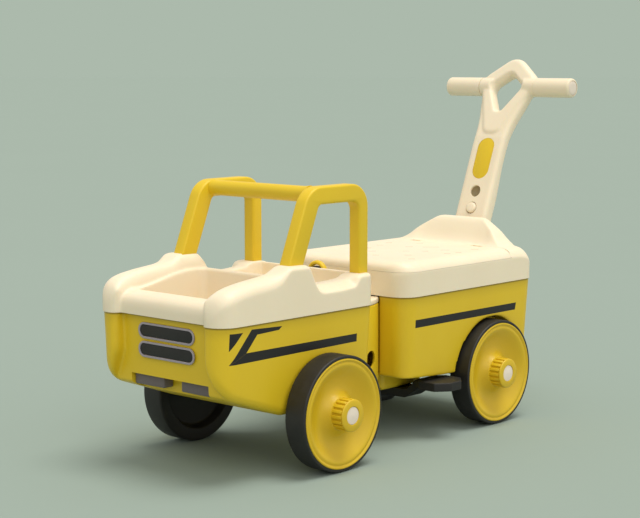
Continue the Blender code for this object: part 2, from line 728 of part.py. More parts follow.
def build_steering_joint(front, rear):
    flat = FRONT_REAR_Y + SEAM
    drum = prism("pivot_drum", drum_plan(DRUM_R, flat), DRUM_LOW_Z, DRUM_TOP_Z, "z")
    inside = prism("drum_inside", drum_plan(DRUM_R - WALL, flat + WALL), DRUM_LOW_Z + 0.004,
                   DRUM_TOP_Z + 0.01, "z")
    boolean(drum, tool(inside, front))
    boss = rod("drum_boss", along_z(0.0, PIVOT_Y), DRUM_LOW_Z + 0.001, ARM_Z - RUNNING, 0.0120, 16)
    boolean(drum, tool(boss, front), "UNION")
    bore = rod("drum_bore", along_z(0.0, PIVOT_Y), 0.0, FAR, PIN_R + 0.0002, 16)
    boolean(drum, tool(bore, front))
    # Slot for the arm, wide enough for the whole steering range
    swing = math.radians(STEER_DEG + 2.0)
    reach = DRUM_R * math.sin(math.asin(ARM_FLANGE_HALF / DRUM_R) + swing)
    slot = box("arm_slot", (-reach, reach), (PIVOT_Y + 0.045, PIVOT_Y + 0.12),
               (ARM_Z - 0.002, ARM_Z + ARM_T + 0.002))
    boolean(drum, tool(slot, front))
    # Round side openings low on the drum
    for side, flip in (("left", 1), ("right", -1)):
        hole = rod("side_opening_" + side, along_x(PIVOT_Y + 0.0135, ARM_Z - 0.0125),
                   DRUM_R / 2 * flip, FAR * flip, SIDE_OPENING_R, 16)
        boolean(drum, tool(hole, front))
    piece(drum, front, YELLOW)
    cap = prism("drum_cap", drum_plan(DRUM_R, flat), DRUM_TOP_Z + SEAM, DRUM_TOP_Z + DRUM_CAP_T, "z")
    bevel(cap, 0.0015, 1, 50.0)
    boolean(cap, bpy.data.objects["drum_bore"])
    piece(cap, front, CREAM, 0.5)
    seat = DRUM_TOP_Z + DRUM_CAP_T + SEAM
    pin = stepped_rod("steering_pin", along_z(0.0, PIVOT_Y), [
        (DRUM_LOW_Z - 0.005, PIN_R - 0.001), (DRUM_LOW_Z - 0.004, PIN_R),
        (seat, PIN_R), (seat + 0.0001, PIN_HEAD_R),
        (seat + PIN_HEAD_H * 0.25, PIN_HEAD_R), (seat + PIN_HEAD_H * 0.9, PIN_HEAD_R - 0.001),
        (seat + PIN_HEAD_H, PIN_HEAD_R - 0.004)])
    piece(pin, front, STEEL, 0.4, 0.8)
    steps = 14
    rings = []
    for k in range(steps + 1):
        a = math.radians(-40 + 260 * k / steps)
        mid = Vector((HOOP_R * math.cos(a), PIVOT_Y, HOOP_Z + HOOP_R * math.sin(a)))
        out = Vector((math.cos(a), 0.0, math.sin(a)))
        ring = []
        for s in range(8):
            t = 2 * math.pi * s / 8
            ring.append(tuple(mid + out * (HOOP_T * math.cos(t)) + Vector((0, HOOP_W * math.sin(t), 0))))
        rings.append(ring)
    grip = loft("pin_grip", rings)
    piece(grip, front, YELLOW)
    # The rear unit's arm turns on the pin
    arm_top = ARM_Z + ARM_T
    outline = []
    for k in range(9):
        a = math.pi + math.pi * k / 8
        outline.append((ARM_EYE_R * math.cos(a), PIVOT_Y + ARM_EYE_R * math.sin(a)))
    reach = DRUM_R + DRUM_RECESS_GAP - SEAM
    flange_y = PIVOT_Y + math.sqrt(reach ** 2 - ARM_FLANGE_HALF ** 2)
    outline += [(ARM_HALF, PIVOT_Y + 0.030), (ARM_HALF, flange_y - 0.010),
                (ARM_FLANGE_HALF, flange_y - 0.006)]
    turn = math.asin(ARM_FLANGE_HALF / reach)
    for k in range(7):
        a = turn * (1 - k / 3)
        outline.append((reach * math.sin(a), PIVOT_Y + reach * math.cos(a)))
    outline += [(-ARM_FLANGE_HALF, flange_y - 0.006), (-ARM_HALF, flange_y - 0.010),
                (-ARM_HALF, PIVOT_Y + 0.030)]
    arm = prism("coupling_arm", outline, ARM_Z, arm_top, "z")
    boolean(arm, tool(rod("arm_bore", along_z(0.0, PIVOT_Y), 0.0, FAR, BUSH_R + 0.0002, 16), rear))
    piece(arm, rear, BLACK, 0.5)
    r_in = (PIN_R + BUSH_PLAY) / math.cos(math.pi / BUSH_SEGMENTS)
    r_out = BUSH_R
    bush = revolve("arm_bush", [(ARM_Z, r_in), (ARM_Z, r_out), (arm_top, r_out), (arm_top, r_in)],
                   BUSH_SEGMENTS, along_z(0.0, PIVOT_Y))
    piece(bush, rear, WHITE, 0.4)


# Rear unit

def rear_plan(inset):
    f, b, w = REAR_FRONT_Y + inset, REAR_BACK_Y - inset, HALF_WIDTH - inset
    r = REAR_CORNER - inset
    return rounded([(w, f, r), (w, b, r), (-w, b, r), (-w, f, r)], 5)


def build_rear_tub(body):
    tub = drafted("rear_tub", rear_plan, SPLIT_Z, 0.050)
    out = 0.02
    belly = [(REAR_FRONT_Y - out, FAR), (REAR_FRONT_Y - out, REAR_FLOOR_FRONT_Z + 0.001),
             (BELLY_BREAK_Y, REAR_FLOOR_BACK_Z + 0.003), (REAR_BACK_Y - 0.012, REAR_FLOOR_BACK_Z),
             (REAR_BACK_Y + out, REAR_FLOOR_BACK_Z + out), (REAR_BACK_Y + out, FAR)]
    boolean(tub, tool(prism("rear_belly", belly, -FAR, FAR), body), "INTERSECT")
    keel = box("rear_keel", (-KEEL_HALF, KEEL_HALF), KEEL_Y, (KEEL_Z, KEEL_TOP_Z))
    bevel(keel, KEEL_EDGE, 2)
    boolean(tub, tool(keel, body), "UNION")
    recess = rod("drum_recess", along_z(0.0, PIVOT_Y), 0.0, FAR, DRUM_R + DRUM_RECESS_GAP, 48)
    boolean(tub, tool(recess, body))
    rings = []
    for z in (0.050, SPLIT_Z + 0.02):
        d = DRAFT * (SPLIT_Z - z) + WALL
        f, b, w = REAR_FRONT_Y + d, REAR_BACK_Y - d, HALF_WIDTH - d
        r = REAR_CORNER - d
        ring = rounded([(w, f, r), (w, b, r), (-w, b, r), (-w, f, r)], 3)
        rings.append([(x, y, z) for x, y in ring])
    hollow = loft("rear_hollow", rings)
    front = PIVOT_Y - 0.02
    floor = [(front, REAR_FLOOR_FRONT_Z + WALL), (BELLY_BREAK_Y, REAR_FLOOR_BACK_Z + 0.003 + WALL),
             (REAR_BACK_Y, REAR_FLOOR_BACK_Z + WALL), (FAR, REAR_FLOOR_BACK_Z + WALL), (FAR, FAR),
             (front, FAR)]
    boolean(hollow, tool(prism("rear_hollow_floor", floor, -FAR, FAR), body), "INTERSECT")
    inside = box("keel_inside", (-KEEL_HALF + WALL, KEEL_HALF - WALL),
                 (KEEL_Y[0] + WALL, KEEL_Y[1] - WALL), (KEEL_Z + WALL, KEEL_TOP_Z))
    boolean(hollow, tool(inside, body), "UNION")
    boss = rod("screw_boss", along_z(0.0, FOOT_Y), KEEL_Z, FOOT_SCREW_TOP + 0.002, FOOT_SCREW_R + 0.004, 12)
    boolean(hollow, tool(boss, body))
    wall = rod("recess_wall", along_z(0.0, PIVOT_Y), 0.0, FAR, DRUM_R + DRUM_RECESS_GAP + WALL, 48)
    boolean(hollow, tool(wall, body))
    axle_hump = rod("rear_axle_hump", along_x(REAR_AXLE_Y, AXLE_Z), -FAR, FAR, HOUSING_R + SEAM + WALL, 20)
    boolean(hollow, tool(axle_hump, body))
    well_x = REAR_TRACK_HALF - TYRE_WIDTH - WELL_SIDE_GAP
    for side, flip in (("left", 1), ("right", -1)):
        x = sorted((flip * (well_x - WALL), flip * FAR))
        skin = rod("well_skin_" + side, along_x(REAR_AXLE_Y, AXLE_Z), x[0], x[1], WELL_R + WALL, 32)
        boolean(hollow, tool(skin, body))
    boolean(tub, tool(hollow, body))
    for side, flip in (("left", 1), ("right", -1)):
        x = sorted((flip * well_x, flip * FAR))
        well = rod("wheel_well_" + side, along_x(REAR_AXLE_Y, AXLE_Z), x[0], x[1], WELL_R, 32)
        boolean(tub, tool(well, body))
    bore = rod("foot_screw_bore", along_z(0.0, FOOT_Y), 0.0, FOOT_SCREW_TOP + SEAM, FOOT_SCREW_R + SEAM, 12)
    boolean(tub, tool(bore, body))
    groove = rod("rear_axle_groove", along_x(REAR_AXLE_Y, AXLE_Z), -FAR, FAR, HOUSING_R + SEAM, 20)
    boolean(tub, tool(groove, body))
    piece(tub, body, YELLOW)


def hump_shape(x):
    """Height of the backrest across the seat, 1 on its ridge and 0 at its foot."""
    x = abs(x)
    if x <= HUMP_TOP_HALF:
        return 1.0
    if x >= HUMP_FOOT_HALF:
        return 0.0
    u = (x - HUMP_TOP_HALF) / (HUMP_FOOT_HALF - HUMP_TOP_HALF)
    return 1.0 - u * u * (3.0 - 2.0 * u) * 0.35 - u * 0.65


def rear_cover_ring(y, inset, low):
    width = plan_width(y, REAR_FRONT_Y, REAR_BACK_Y, REAR_CORNER, REAR_CORNER, HALF_WIDTH, inset)
    spread = [0.86, 0.74, 0.60, 0.50, 0.40, 0.20]
    if y < DECK_START + inset:
        top = LID_SEAM_Z - inset
        half = [(width, low), (width, top - 0.003), (width - 0.0008, top - 0.0008),
                (width - 0.003, top), (width - 0.006, top)]
        half += [((width - 0.006) * s, top) for s in spread]
    else:
        top = between(DECK_TOP, y) - inset
        rise = between(HUMP_RISE, y) * HUMP_HEIGHT
        run = min(DECK_RUN, width * 0.3)
        drop = min(DECK_ROUND, top - low - 0.004)
        half = [(width, low), (width, top - drop)]
        for k in (1, 2):
            a = math.radians(30 * k)
            half.append((width - run + run * math.cos(a), top - drop + drop * math.sin(a)))
        half.append((width - run, top))
        for s in spread:
            x = (HALF_WIDTH - DECK_RUN) * s
            x = min(x, (width - run) * s)
            half.append((x, top + rise * hump_shape(x)))
    mirrored = [(-x, z) for x, z in reversed(half)]
    return [(x, y, z) for x, z in half + mirrored]


def handle_box(name, half, front, back, low, high, radius=0.0, steps=2):
    """A bar along the raked handle line; front and back are depths from its front face."""
    rings = []
    for s in (low, high):
        r = max(radius, 0.0)
        outline = rounded([(half, front, r), (half, back, r), (-half, back, r), (-half, front, r)], steps)
        rings.append([handle_point(x, s, d) for x, d in outline])
    return loft(name, rings)


def handle_point(x, s, depth):
    """Point at x, s up the handle from its reference hole, depth behind the front face."""
    sin_r, cos_r = math.sin(HANDLE_RAKE), math.cos(HANDLE_RAKE)
    return (x, HANDLE_REF[0] + s * sin_r + depth * cos_r, HANDLE_REF[1] + s * cos_r - depth * sin_r)


def build_rear_cover(body):
    bottom = SPLIT_Z + SEAM
    seat_y = [REAR_FRONT_Y, REAR_FRONT_Y + 0.0012, REAR_FRONT_Y + 0.0045, REAR_FRONT_Y + 0.010,
              REAR_FRONT_Y + 0.0185, REAR_FRONT_Y + REAR_CORNER, DECK_START - 0.0001]
    deck_y = [DECK_START] + [y for y, _ in HUMP_RISE[1:]] + [*DECK_STATIONS, REAR_BACK_Y]
    rings = [rear_cover_ring(y, 0.0, bottom) for y in seat_y + deck_y]
    cover = loft("rear_cover", rings)
    step = DECK_START + WALL
    inner_y = [REAR_FRONT_Y + WALL, REAR_FRONT_Y + REAR_CORNER / 3, REAR_FRONT_Y + REAR_CORNER,
               step - 0.0001, step, *DECK_INNER_STATIONS, HUMP_BACK_Y - WALL,
               HUMP_BACK_Y - WALL + 0.0010, DECK_LAST_INNER, REAR_BACK_Y - WALL]
    inner_rings = []
    for y in inner_y:
        ring_y = y if y <= HUMP_BACK_Y - WALL else max(y, HUMP_BACK_Y + 0.0016)
        ring = rear_cover_ring(ring_y, WALL, SPLIT_Z - INNER_DROP)
        inner_rings.append([(x, y, z) for x, _, z in ring])
    inner = loft("rear_cover_inside", inner_rings)
    boolean(cover, tool(inner, body))
    front, back, r = REAR_FRONT_Y + STORAGE_FRONT_EDGE, LID_REAR_Y - STORAGE_BACK_EDGE, STORAGE_CORNER_R
    opening = rounded([(STORAGE_HALF, front, r), (STORAGE_HALF, back, r),
                       (-STORAGE_HALF, back, r), (-STORAGE_HALF, front, r)], 3)
    boolean(cover, tool(prism("storage_opening", opening, LID_SEAM_Z - 0.016, LID_SEAM_Z + 0.005, "z"), body))
    slot = handle_box("handle_slot", HANDLE_HALF + RUNNING, -RUNNING, HANDLE_T + RUNNING, HANDLE_LOW, 0.05,
                      HANDLE_EDGE_R, 3)
    boolean(cover, tool(slot, body))
    for side, flip in (("left", 1), ("right", -1)):
        x = sorted((flip * KNUCKLE_X[0], flip * KNUCKLE_X[1]))
        knuckle = rod("deck_knuckle_" + side, along_x(HINGE_Y, HINGE_Z), x[0], x[1], HINGE_R - 0.0002, 16)
        boolean(cover, tool(knuckle, body), "UNION")
        web = box("deck_web_" + side, x, (HINGE_Y + 0.0005, DECK_START + 0.004),
                  (HINGE_Z - 0.0030, HINGE_Z + 0.0028))
        boolean(cover, tool(web, body), "UNION")
    bore = rod("hinge_bore", along_x(HINGE_Y, HINGE_Z), -PIN_X - 0.001, PIN_X + 0.001,
               HINGE_PIN_R + 0.0002, 12)
    boolean(cover, tool(bore, body))
    piece(cover, body, CREAM, 0.5)
    pin = rod("lid_hinge_pin", along_x(HINGE_Y, HINGE_Z), -PIN_X, PIN_X, HINGE_PIN_R, 12)
    piece(pin, body, STEEL, 0.35, 0.9)


def lid_ring(y, inset, low, top=None):
    width = plan_width(y, REAR_FRONT_Y, 1.0, REAR_CORNER, 0.002, HALF_WIDTH, inset)
    t = min(1.0, max(0.0, (y - REAR_FRONT_Y - inset) / LID_FRONT_R))
    base = LID_SEAM_Z + SEAM + 0.003
    if top is None:
        top = base + (LID_TOP_Z - base) * math.sqrt(max(0.0, 1.0 - (1.0 - t) ** 2)) - inset
    drop = max((top - max(low, LID_SEAM_Z + SEAM)) * 0.85, 0.0012)
    side_z = max(top - drop, low + 0.0006)
    half = [(width, low), (width, side_z)]
    for k in (1, 2):
        a = math.radians(30 * k)
        half.append((width - LID_SIDE_RUN + LID_SIDE_RUN * math.cos(a),
                     side_z + (top - side_z) * math.sin(a)))
    half.append((width - LID_SIDE_RUN, top))
    mirrored = [(-x, z) for x, z in reversed(half)]
    return [(x, y, z) for x, z in half + mirrored]


def build_seat_lid(body):
    low = LID_SEAM_Z + SEAM
    front = REAR_FRONT_Y
    ys = [front, front + 0.0008, front + 0.0025, front + 0.006, front + 0.011, front + LID_FRONT_R,
          front + REAR_CORNER, HINGE_Y]
    rings = [lid_ring(y, 0.0, low) for y in ys]
    # The rear edge is rounded about the hinge pin, so that it clears the deck as it turns
    swing = HINGE_Z - low - SEAM
    for k in (1, 2, 3):
        dy = HINGE_R * math.sin(math.radians(30 * k))
        top = HINGE_Z + HINGE_R * math.cos(math.radians(30 * k)) * 0.999 + 0.0001
        rings.append(lid_ring(HINGE_Y + dy, 0.0, HINGE_Z - math.sqrt(swing * swing - dy * dy), top))
    lid = loft("seat_lid", rings)
    inner = loft("lid_inside", [lid_ring(y, WALL, low - 0.02) for y in
                                (front + WALL, front + 0.010, front + 0.024, HINGE_Y - 0.007)])
    boolean(lid, tool(inner, body))
    for side, flip in (("left", 1), ("right", -1)):
        x = sorted((flip * (KNUCKLE_X[0] - RUNNING), flip * (KNUCKLE_X[1] + RUNNING)))
        notch = box("lid_notch_" + side, x, (HINGE_Y - HINGE_R - 0.001, HINGE_Y + 0.02),
                    (LID_SEAM_Z - 0.01, LID_TOP_Z + 0.01))
        boolean(lid, tool(notch, body))
    bore = rod("lid_bore", along_x(HINGE_Y, HINGE_Z), -PIN_X - 0.001, PIN_X + 0.001, HINGE_PIN_R + 0.0003, 12)
    boolean(lid, tool(bore, body))
    piece(lid, body, CREAM, 0.5)


# Wheels and axles

def build_axle(body, tag, y, track):
    end = track + HUB_OUT - 0.0060
    inner = track - TYRE_WIDTH - 0.0005
    place = along_x(y, AXLE_Z)
    axle = rod(tag + "_axle", place, -end, end, AXLE_R, 14)
    piece(axle, body, STEEL, 0.3, 0.9)
    bore = AXLE_R + 0.0002
    profile = [(-inner, bore), (-inner, HOUSING_R), (inner, HOUSING_R), (inner, bore)]
    housing = revolve(tag + "_axle_housing", profile, 20, place)
    piece(housing, body, BLACK, 0.55)


def wheel_profile_tyre():
    """Black wheel with its tread: web and bearing boss on its inner side."""
    w = TYRE_WIDTH
    bore = AXLE_R + 0.0003
    web = WEB_OUT - WEB_T
    boss, tread = AXLE_R + 0.0080, TYRE_R - 0.0020
    return [(0.0035, bore), (0.0035, boss), (web, boss + 0.0020), (web, TYRE_R - 0.0230),
            (0.0, TYRE_R - 0.0180), (0.0, tread), (0.0020, TYRE_R), (w - 0.0025, TYRE_R),
            (w - 0.0006, tread), (w - 0.0010, COVER_R + SEAM), (WEB_OUT, COVER_R + SEAM), (WEB_OUT, bore)]


def wheel_profile_cover():
    """Yellow wheel cover: lip, dish and hub, outside first."""
    w = TYRE_WIDTH
    hub = w + HUB_OUT
    back = WEB_OUT + SEAM
    bore = AXLE_R + 0.0003
    outer = [(w, COVER_R), (w, COVER_R - 0.0026), (w - 0.0014, COVER_R - 0.0076),
             (w - 0.0104, COVER_R - 0.0256), (w - 0.0134, COVER_R - 0.0356),
             (w - 0.0119, HUB_R + 0.0095), (w - 0.0034, HUB_R + 0.0005), (hub - 0.0025, HUB_R),
             (hub, HUB_R - 0.0015), (hub, CAP_R + SEAM), (hub - 0.0050, CAP_R + SEAM), (hub - 0.0050, bore)]
    inner = [(back, bore), (back, COVER_R - 0.0316), (w - 0.0060, COVER_R - 0.0081),
             (w - 0.0060, COVER_R - 0.0031), (back, COVER_R - 0.0031), (back, COVER_R)]
    return outer + inner


def build_wheel(unit, tag, side, y, track):
    flip = 1 if side == "left" else -1
    base_x = flip * (track - TYRE_WIDTH)
    name = tag + "_" + side
    hub = empty("wheel_" + name, (flip * (track - TYRE_WIDTH / 2), y, AXLE_Z), unit)

    def place(a, u, v):
        return (base_x + flip * a, y + u, AXLE_Z + v)
    tyre = revolve("tyre_" + name, wheel_profile_tyre(), WHEEL_SEGMENTS, place)
    piece(tyre, hub, BLACK, 0.75)
    profile = wheel_profile_cover()
    cover = revolve("wheel_cover_" + name, profile, WHEEL_SEGMENTS, place, {6: KNURL_DEPTH, 7: KNURL_DEPTH})
    piece(cover, hub, YELLOW)
    top = TYRE_WIDTH + HUB_OUT - 0.0006
    cap = stepped_rod("hub_cap_" + name, place,
                      [(top - 0.0040, CAP_R), (top - 0.0006, CAP_R), (top, CAP_R - 0.0010)], 20)
    piece(cap, hub, WHITE, 0.4)


# Push handle

def loop_point(u, v, n):
    """Point in the loop's plane: u across, v up the plane, n behind its middle."""
    sin_r, cos_r = math.sin(LOOP_RAKE), math.cos(LOOP_RAKE)
    return (u, LOOP_CENTRE[0] + v * sin_r + n * cos_r, LOOP_CENTRE[1] + v * cos_r - n * sin_r)


def plate(name, outline, front, back):
    return loft(name, [[loop_point(u, v, n) for u, v in outline] for n in (front, back)])


def bar_outline(half, front, back):
    r = HANDLE_EDGE_R
    return rounded([(half, front, r), (half, back, r), (-half, back, r), (-half, front, r)], 3)


def build_handle(slide, press):
    rings = []
    for s, thick in ((HANDLE_LOW, HANDLE_T), (-0.0050, HANDLE_T), (0.0450, HANDLE_T_TOP),
                     (HANDLE_BEND, HANDLE_T_TOP)):
        rings.append([handle_point(x, s, d) for x, d in bar_outline(HANDLE_HALF, 0.0, thick)])
    front = NECK_PROUD - LOOP_T / 2
    for v, half in NECK:
        rings.append([loop_point(x, v, n) for x, n in bar_outline(half, front, front + HANDLE_T_TOP)])
    bar = loft("handle_casing", rings)
    ring = plate("handle_loop", rounded(LOOP_OUTER, 6), -LOOP_T / 2, LOOP_T / 2)
    bevel(ring, 0.007, 3, 50.0)
    boolean(bar, tool(ring, slide), "UNION")
    for side, flip in (("left", 1), ("right", -1)):
        x = sorted((flip * 0.030, flip * (GRIP_START_X - SEAM)))
        collar = rod("grip_collar_" + side, along_x(*LOOP_CENTRE), x[0], x[1], GRIP_R - 0.0005, 24)
        boolean(bar, tool(collar, slide), "UNION")
        x = sorted((flip * 0.045, flip * STUB_END_X))
        stub = rod("grip_stub_" + side, along_x(*LOOP_CENTRE), x[0], x[1], STUB_R, 16)
        boolean(bar, tool(stub, slide), "UNION")
    hole = plate("loop_hole", rounded(LOOP_HOLE, 4), -0.05, 0.05)
    boolean(bar, tool(hole, slide))
    # Hollow bar with its post channel, index hole and inlay pocket
    channel = handle_box("post_channel", HANDLE_HALF - HANDLE_WALL, HANDLE_WALL, HANDLE_T - HANDLE_WALL,
                         HANDLE_LOW - 0.02, INLAY_S[0] - 0.006)
    boolean(bar, tool(channel, slide))
    for tag, s, radius in (("index", 0.0, HOLE_R), ("button", BUTTON_S, BUTTON_R + RUNNING)):
        rings = []
        for depth in (-0.02, HANDLE_WALL + 0.003):
            turn = [2 * math.pi * k / 20 for k in range(20)]
            rings.append([handle_point(radius * math.cos(t), s + radius * math.sin(t), depth) for t in turn])
        boolean(bar, tool(loft(tag + "_hole", rings), slide))
    low, high = INLAY_S
    outline = rounded([(INLAY_HALF, low, INLAY_HALF - 0.0001), (INLAY_HALF, high, INLAY_HALF - 0.0001),
                       (-INLAY_HALF, high, INLAY_HALF - 0.0001), (-INLAY_HALF, low, INLAY_HALF - 0.0001)], 6)
    rings = [[handle_point(x, s, d) for x, s in outline] for d in (-0.01, 0.0022)]
    boolean(bar, tool(loft("inlay_pocket", rings), slide))
    piece(bar, slide, CREAM, 0.5)
    shrink = SEAM
    outline = rounded([(INLAY_HALF - shrink, low + shrink, INLAY_HALF - shrink - 0.0001),
                       (INLAY_HALF - shrink, high - shrink, INLAY_HALF - shrink - 0.0001),
                       (-INLAY_HALF + shrink, high - shrink, INLAY_HALF - shrink - 0.0001),
                       (-INLAY_HALF + shrink, low + shrink, INLAY_HALF - shrink - 0.0001)], 6)
    rings = [[handle_point(x, s, d) for x, s in outline] for d in (0.0010, 0.0022 - SEAM)]
    piece(loft("handle_inlay", rings), slide, YELLOW)
    for side, flip in (("left", 1), ("right", -1)):
        place = along_x(*LOOP_CENTRE)

        def out(a, u, v, flip=flip, place=place):
            return place(flip * a, u, v)
        bore = STUB_R + RUNNING
        grip = revolve("grip_" + side, [
            (GRIP_START_X, bore), (GRIP_START_X, GRIP_R), (GRIP_END_X - 0.004, GRIP_R),
            (GRIP_END_X - 0.0012, GRIP_R - 0.0012), (GRIP_END_X - 0.0004, GRIP_R - 0.0035),
            (GRIP_END_X - 0.0060, GRIP_R - 0.0036), (GRIP_END_X - 0.0060, bore)], 24, out)
        piece(grip, slide, CREAM, 0.5)
        cap = stepped_rod("grip_cap_" + side, out, [
            (GRIP_END_X - 0.0057, GRIP_R - 0.0040), (GRIP_END_X - 0.0012, GRIP_R - 0.0040),
            (GRIP_END_X, GRIP_R - 0.0052)], 20)
        piece(cap, slide, WHITE, 0.5)
    # Button and its flange inside the casing
    rings = []
    flange = HANDLE_WALL + SEAM
    for depth, radius in ((-BUTTON_OUT, BUTTON_R - 0.0016), (-BUTTON_OUT + 0.0012, BUTTON_R),
                          (flange, BUTTON_R), (flange + 0.0001, BUTTON_R + 0.0020),
                          (flange + 0.0014, BUTTON_R + 0.0020)):
        turn = [2 * math.pi * k / 20 for k in range(20)]
        rings.append([handle_point(radius * math.cos(t), BUTTON_S + radius * math.sin(t), depth)
                      for t in turn])
    piece(loft("height_button", rings), press, CREAM, 0.45)
    # Leaf spring behind the button, its tail leaning on the casing's front wall
    behind = flange + 0.0014 + SEAM
    rings = []
    for s, depth in ((BUTTON_S + 0.008, behind), (BUTTON_S - 0.010, behind), (BUTTON_S - 0.042, flange)):
        rings.append([handle_point(x, s, d) for x, d in (
            (SPRING_HALF, depth), (SPRING_HALF, depth + SPRING_T), (-SPRING_HALF, depth + SPRING_T),
            (-SPRING_HALF, depth))])
    piece(loft("button_spring", rings), press, STEEL, 0.3, 0.9)


def build_handle_mount(rear):
    back = HANDLE_T - HANDLE_WALL - RUNNING
    low, high = SOCKET_S
    floor = low + 0.006
    post = handle_box("handle_post", POST_HALF, back - POST_T, back, floor + SEAM,
                      POST_TOP_S)
    piece(post, rear, BLACK, 0.5)
    gap = RUNNING
    wall = gap + SOCKET_WALL
    socket = handle_box("handle_socket", HANDLE_HALF + wall, -wall, HANDLE_T + wall, low, high)
    foot_y = handle_point(0.0, low, HANDLE_T / 2)[1]
    foot = box("socket_foot", (-HANDLE_HALF - wall + 0.001, HANDLE_HALF + wall - 0.001),
               (foot_y - 0.014, foot_y + 0.016), (SOCKET_FOOT_Z, SOCKET_FOOT_Z + 0.049))
    boolean(socket, tool(foot, rear), "UNION")
    bore = handle_box("socket_bore", HANDLE_HALF + gap, -gap, HANDLE_T + gap, floor, 0.0,
                      HANDLE_EDGE_R, 3)
    boolean(socket, tool(bore, rear))
    piece(socket, rear, BLACK, 0.5)


# Footrest

def build_footrest(rear):
    hub_x = HUB_BOSS_R + 0.004
    inner_x = PAD_X[0] - 0.020
    profile = [(hub_x, BAR_LOW_Z), (inner_x - 0.004, BAR_LOW_Z + 0.001),
               (PAD_X[0] + 0.004, PAD_TOP_Z - PAD_T),
               (PAD_X[1], PAD_TOP_Z - PAD_T), (PAD_X[1], PAD_TOP_Z), (PAD_X[0] - 0.002, PAD_TOP_Z),
               (inner_x, BAR_TOP_Z + 0.001), (KEEL_HALF + 0.002, BAR_TOP_Z)]
    side = [(-x, z) for x, z in reversed(profile)]
    outline = profile + side
    bar = prism("footrest", outline, PAD_Y[0], PAD_Y[1], "y")
    mid = (PAD_Y[0] + PAD_Y[1]) / 2
    right = [(PAD_X[0] - 0.024, BAR_Y[0]), (PAD_X[0] - 0.004, BAR_Y[0]), (PAD_X[0] + 0.010, PAD_Y[0]),
             (PAD_X[1] - 0.016, PAD_Y[0]), (PAD_X[1], mid - 0.012), (PAD_X[1], mid + 0.012),
             (PAD_X[1] - 0.016, PAD_Y[1]), (PAD_X[0] + 0.010, PAD_Y[1]), (PAD_X[0] - 0.004, BAR_Y[1]),
             (PAD_X[0] - 0.024, BAR_Y[1])]
    plan = right + [(-x, y) for x, y in reversed(right)]
    boolean(bar, tool(prism("footrest_plan", plan, 0.0, FAR, "z"), rear), "INTERSECT")
    boss = stepped_rod("footrest_boss", along_z(0.0, FOOT_Y), [
        (HUB_BOSS_Z, HUB_BOSS_R - 0.006), (HUB_BOSS_Z + 0.006, HUB_BOSS_R),
        (BAR_LOW_Z + 0.004, HUB_BOSS_R)], 24)
    boolean(bar, tool(boss, rear), "UNION")
    boolean(bar, bpy.data.objects["foot_screw_bore"])
    sink = rod("screw_sink", along_z(0.0, FOOT_Y), 0.0, HUB_BOSS_Z + FOOT_HEAD_T + SEAM,
               FOOT_HEAD_R + SEAM, 16)
    boolean(bar, tool(sink, rear))
    piece(bar, rear, BLACK, 0.6)
    top = HUB_BOSS_Z + FOOT_HEAD_T
    screw = stepped_rod("footrest_screw", along_z(0.0, FOOT_Y), [
        (HUB_BOSS_Z + 0.0005, FOOT_HEAD_R - 0.001), (HUB_BOSS_Z + 0.0015, FOOT_HEAD_R), (top, FOOT_HEAD_R),
        (top + 0.0001, FOOT_SCREW_R), (FOOT_SCREW_TOP, FOOT_SCREW_R)], 12)
    piece(screw, rear, STEEL, 0.35, 0.9)


def centre_on_ground(root):
    """Move the truck so that the middle of its box is over the origin."""
    bpy.context.view_layer.update()
    graph = bpy.context.evaluated_depsgraph_get()
    low, high = Vector((9, 9, 9)), Vector((-9, -9, -9))
    for obj in bpy.context.scene.objects:
        if obj.type != "MESH" or obj.hide_render:
            continue
        shape = obj.evaluated_get(graph)
        for v in shape.data.vertices:
            p = obj.matrix_world @ v.co
            low = Vector(map(min, low, p))
            high = Vector(map(max, high, p))
    middle = (low + high) / 2
    root.location = (-middle.x, -middle.y, -low.z)
    bpy.context.view_layer.update()


def main():
    clear_scene()
    root = empty("truck", (0.0, 0.0, 0.0))
    rear = empty("rear_unit", (0.0, 0.0, 0.0), root)
    front = empty("steering_axis", (0.0, PIVOT_Y, 0.0), root)
    lid = empty("seat_hinge", (0.0, HINGE_Y, HINGE_Z), root)
    slide = empty("handle_slide", handle_point(0.0, 0.0, 0.0), root)
    press = empty("button_press", handle_point(0.0, BUTTON_S, 0.0), slide)
    build_front_tub(front)
    build_front_trim(front)
    build_front_cover(front)
    build_cage(front)
    build_steering_joint(front, rear)
    build_rear_tub(rear)
    build_rear_cover(rear)
    build_seat_lid(lid)
    build_axle(front, "front", 0.0, FRONT_TRACK_HALF)
    build_axle(rear, "rear", REAR_AXLE_Y, REAR_TRACK_HALF)
    for side in ("left", "right"):
        build_wheel(front, "front", side, 0.0, FRONT_TRACK_HALF)
        build_wheel(rear, "rear", side, REAR_AXLE_Y, REAR_TRACK_HALF)
    build_handle_mount(rear)
    build_handle(slide, press)
    build_footrest(rear)
    centre_on_ground(root)


main()
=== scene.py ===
"""Surfaces, finishes and studio for the articulated ride-on truck with its push handle."""
import json
import logging
import math
from collections.abc import Callable, Sequence
from dataclasses import dataclass
from enum import Enum
from typing import ClassVar

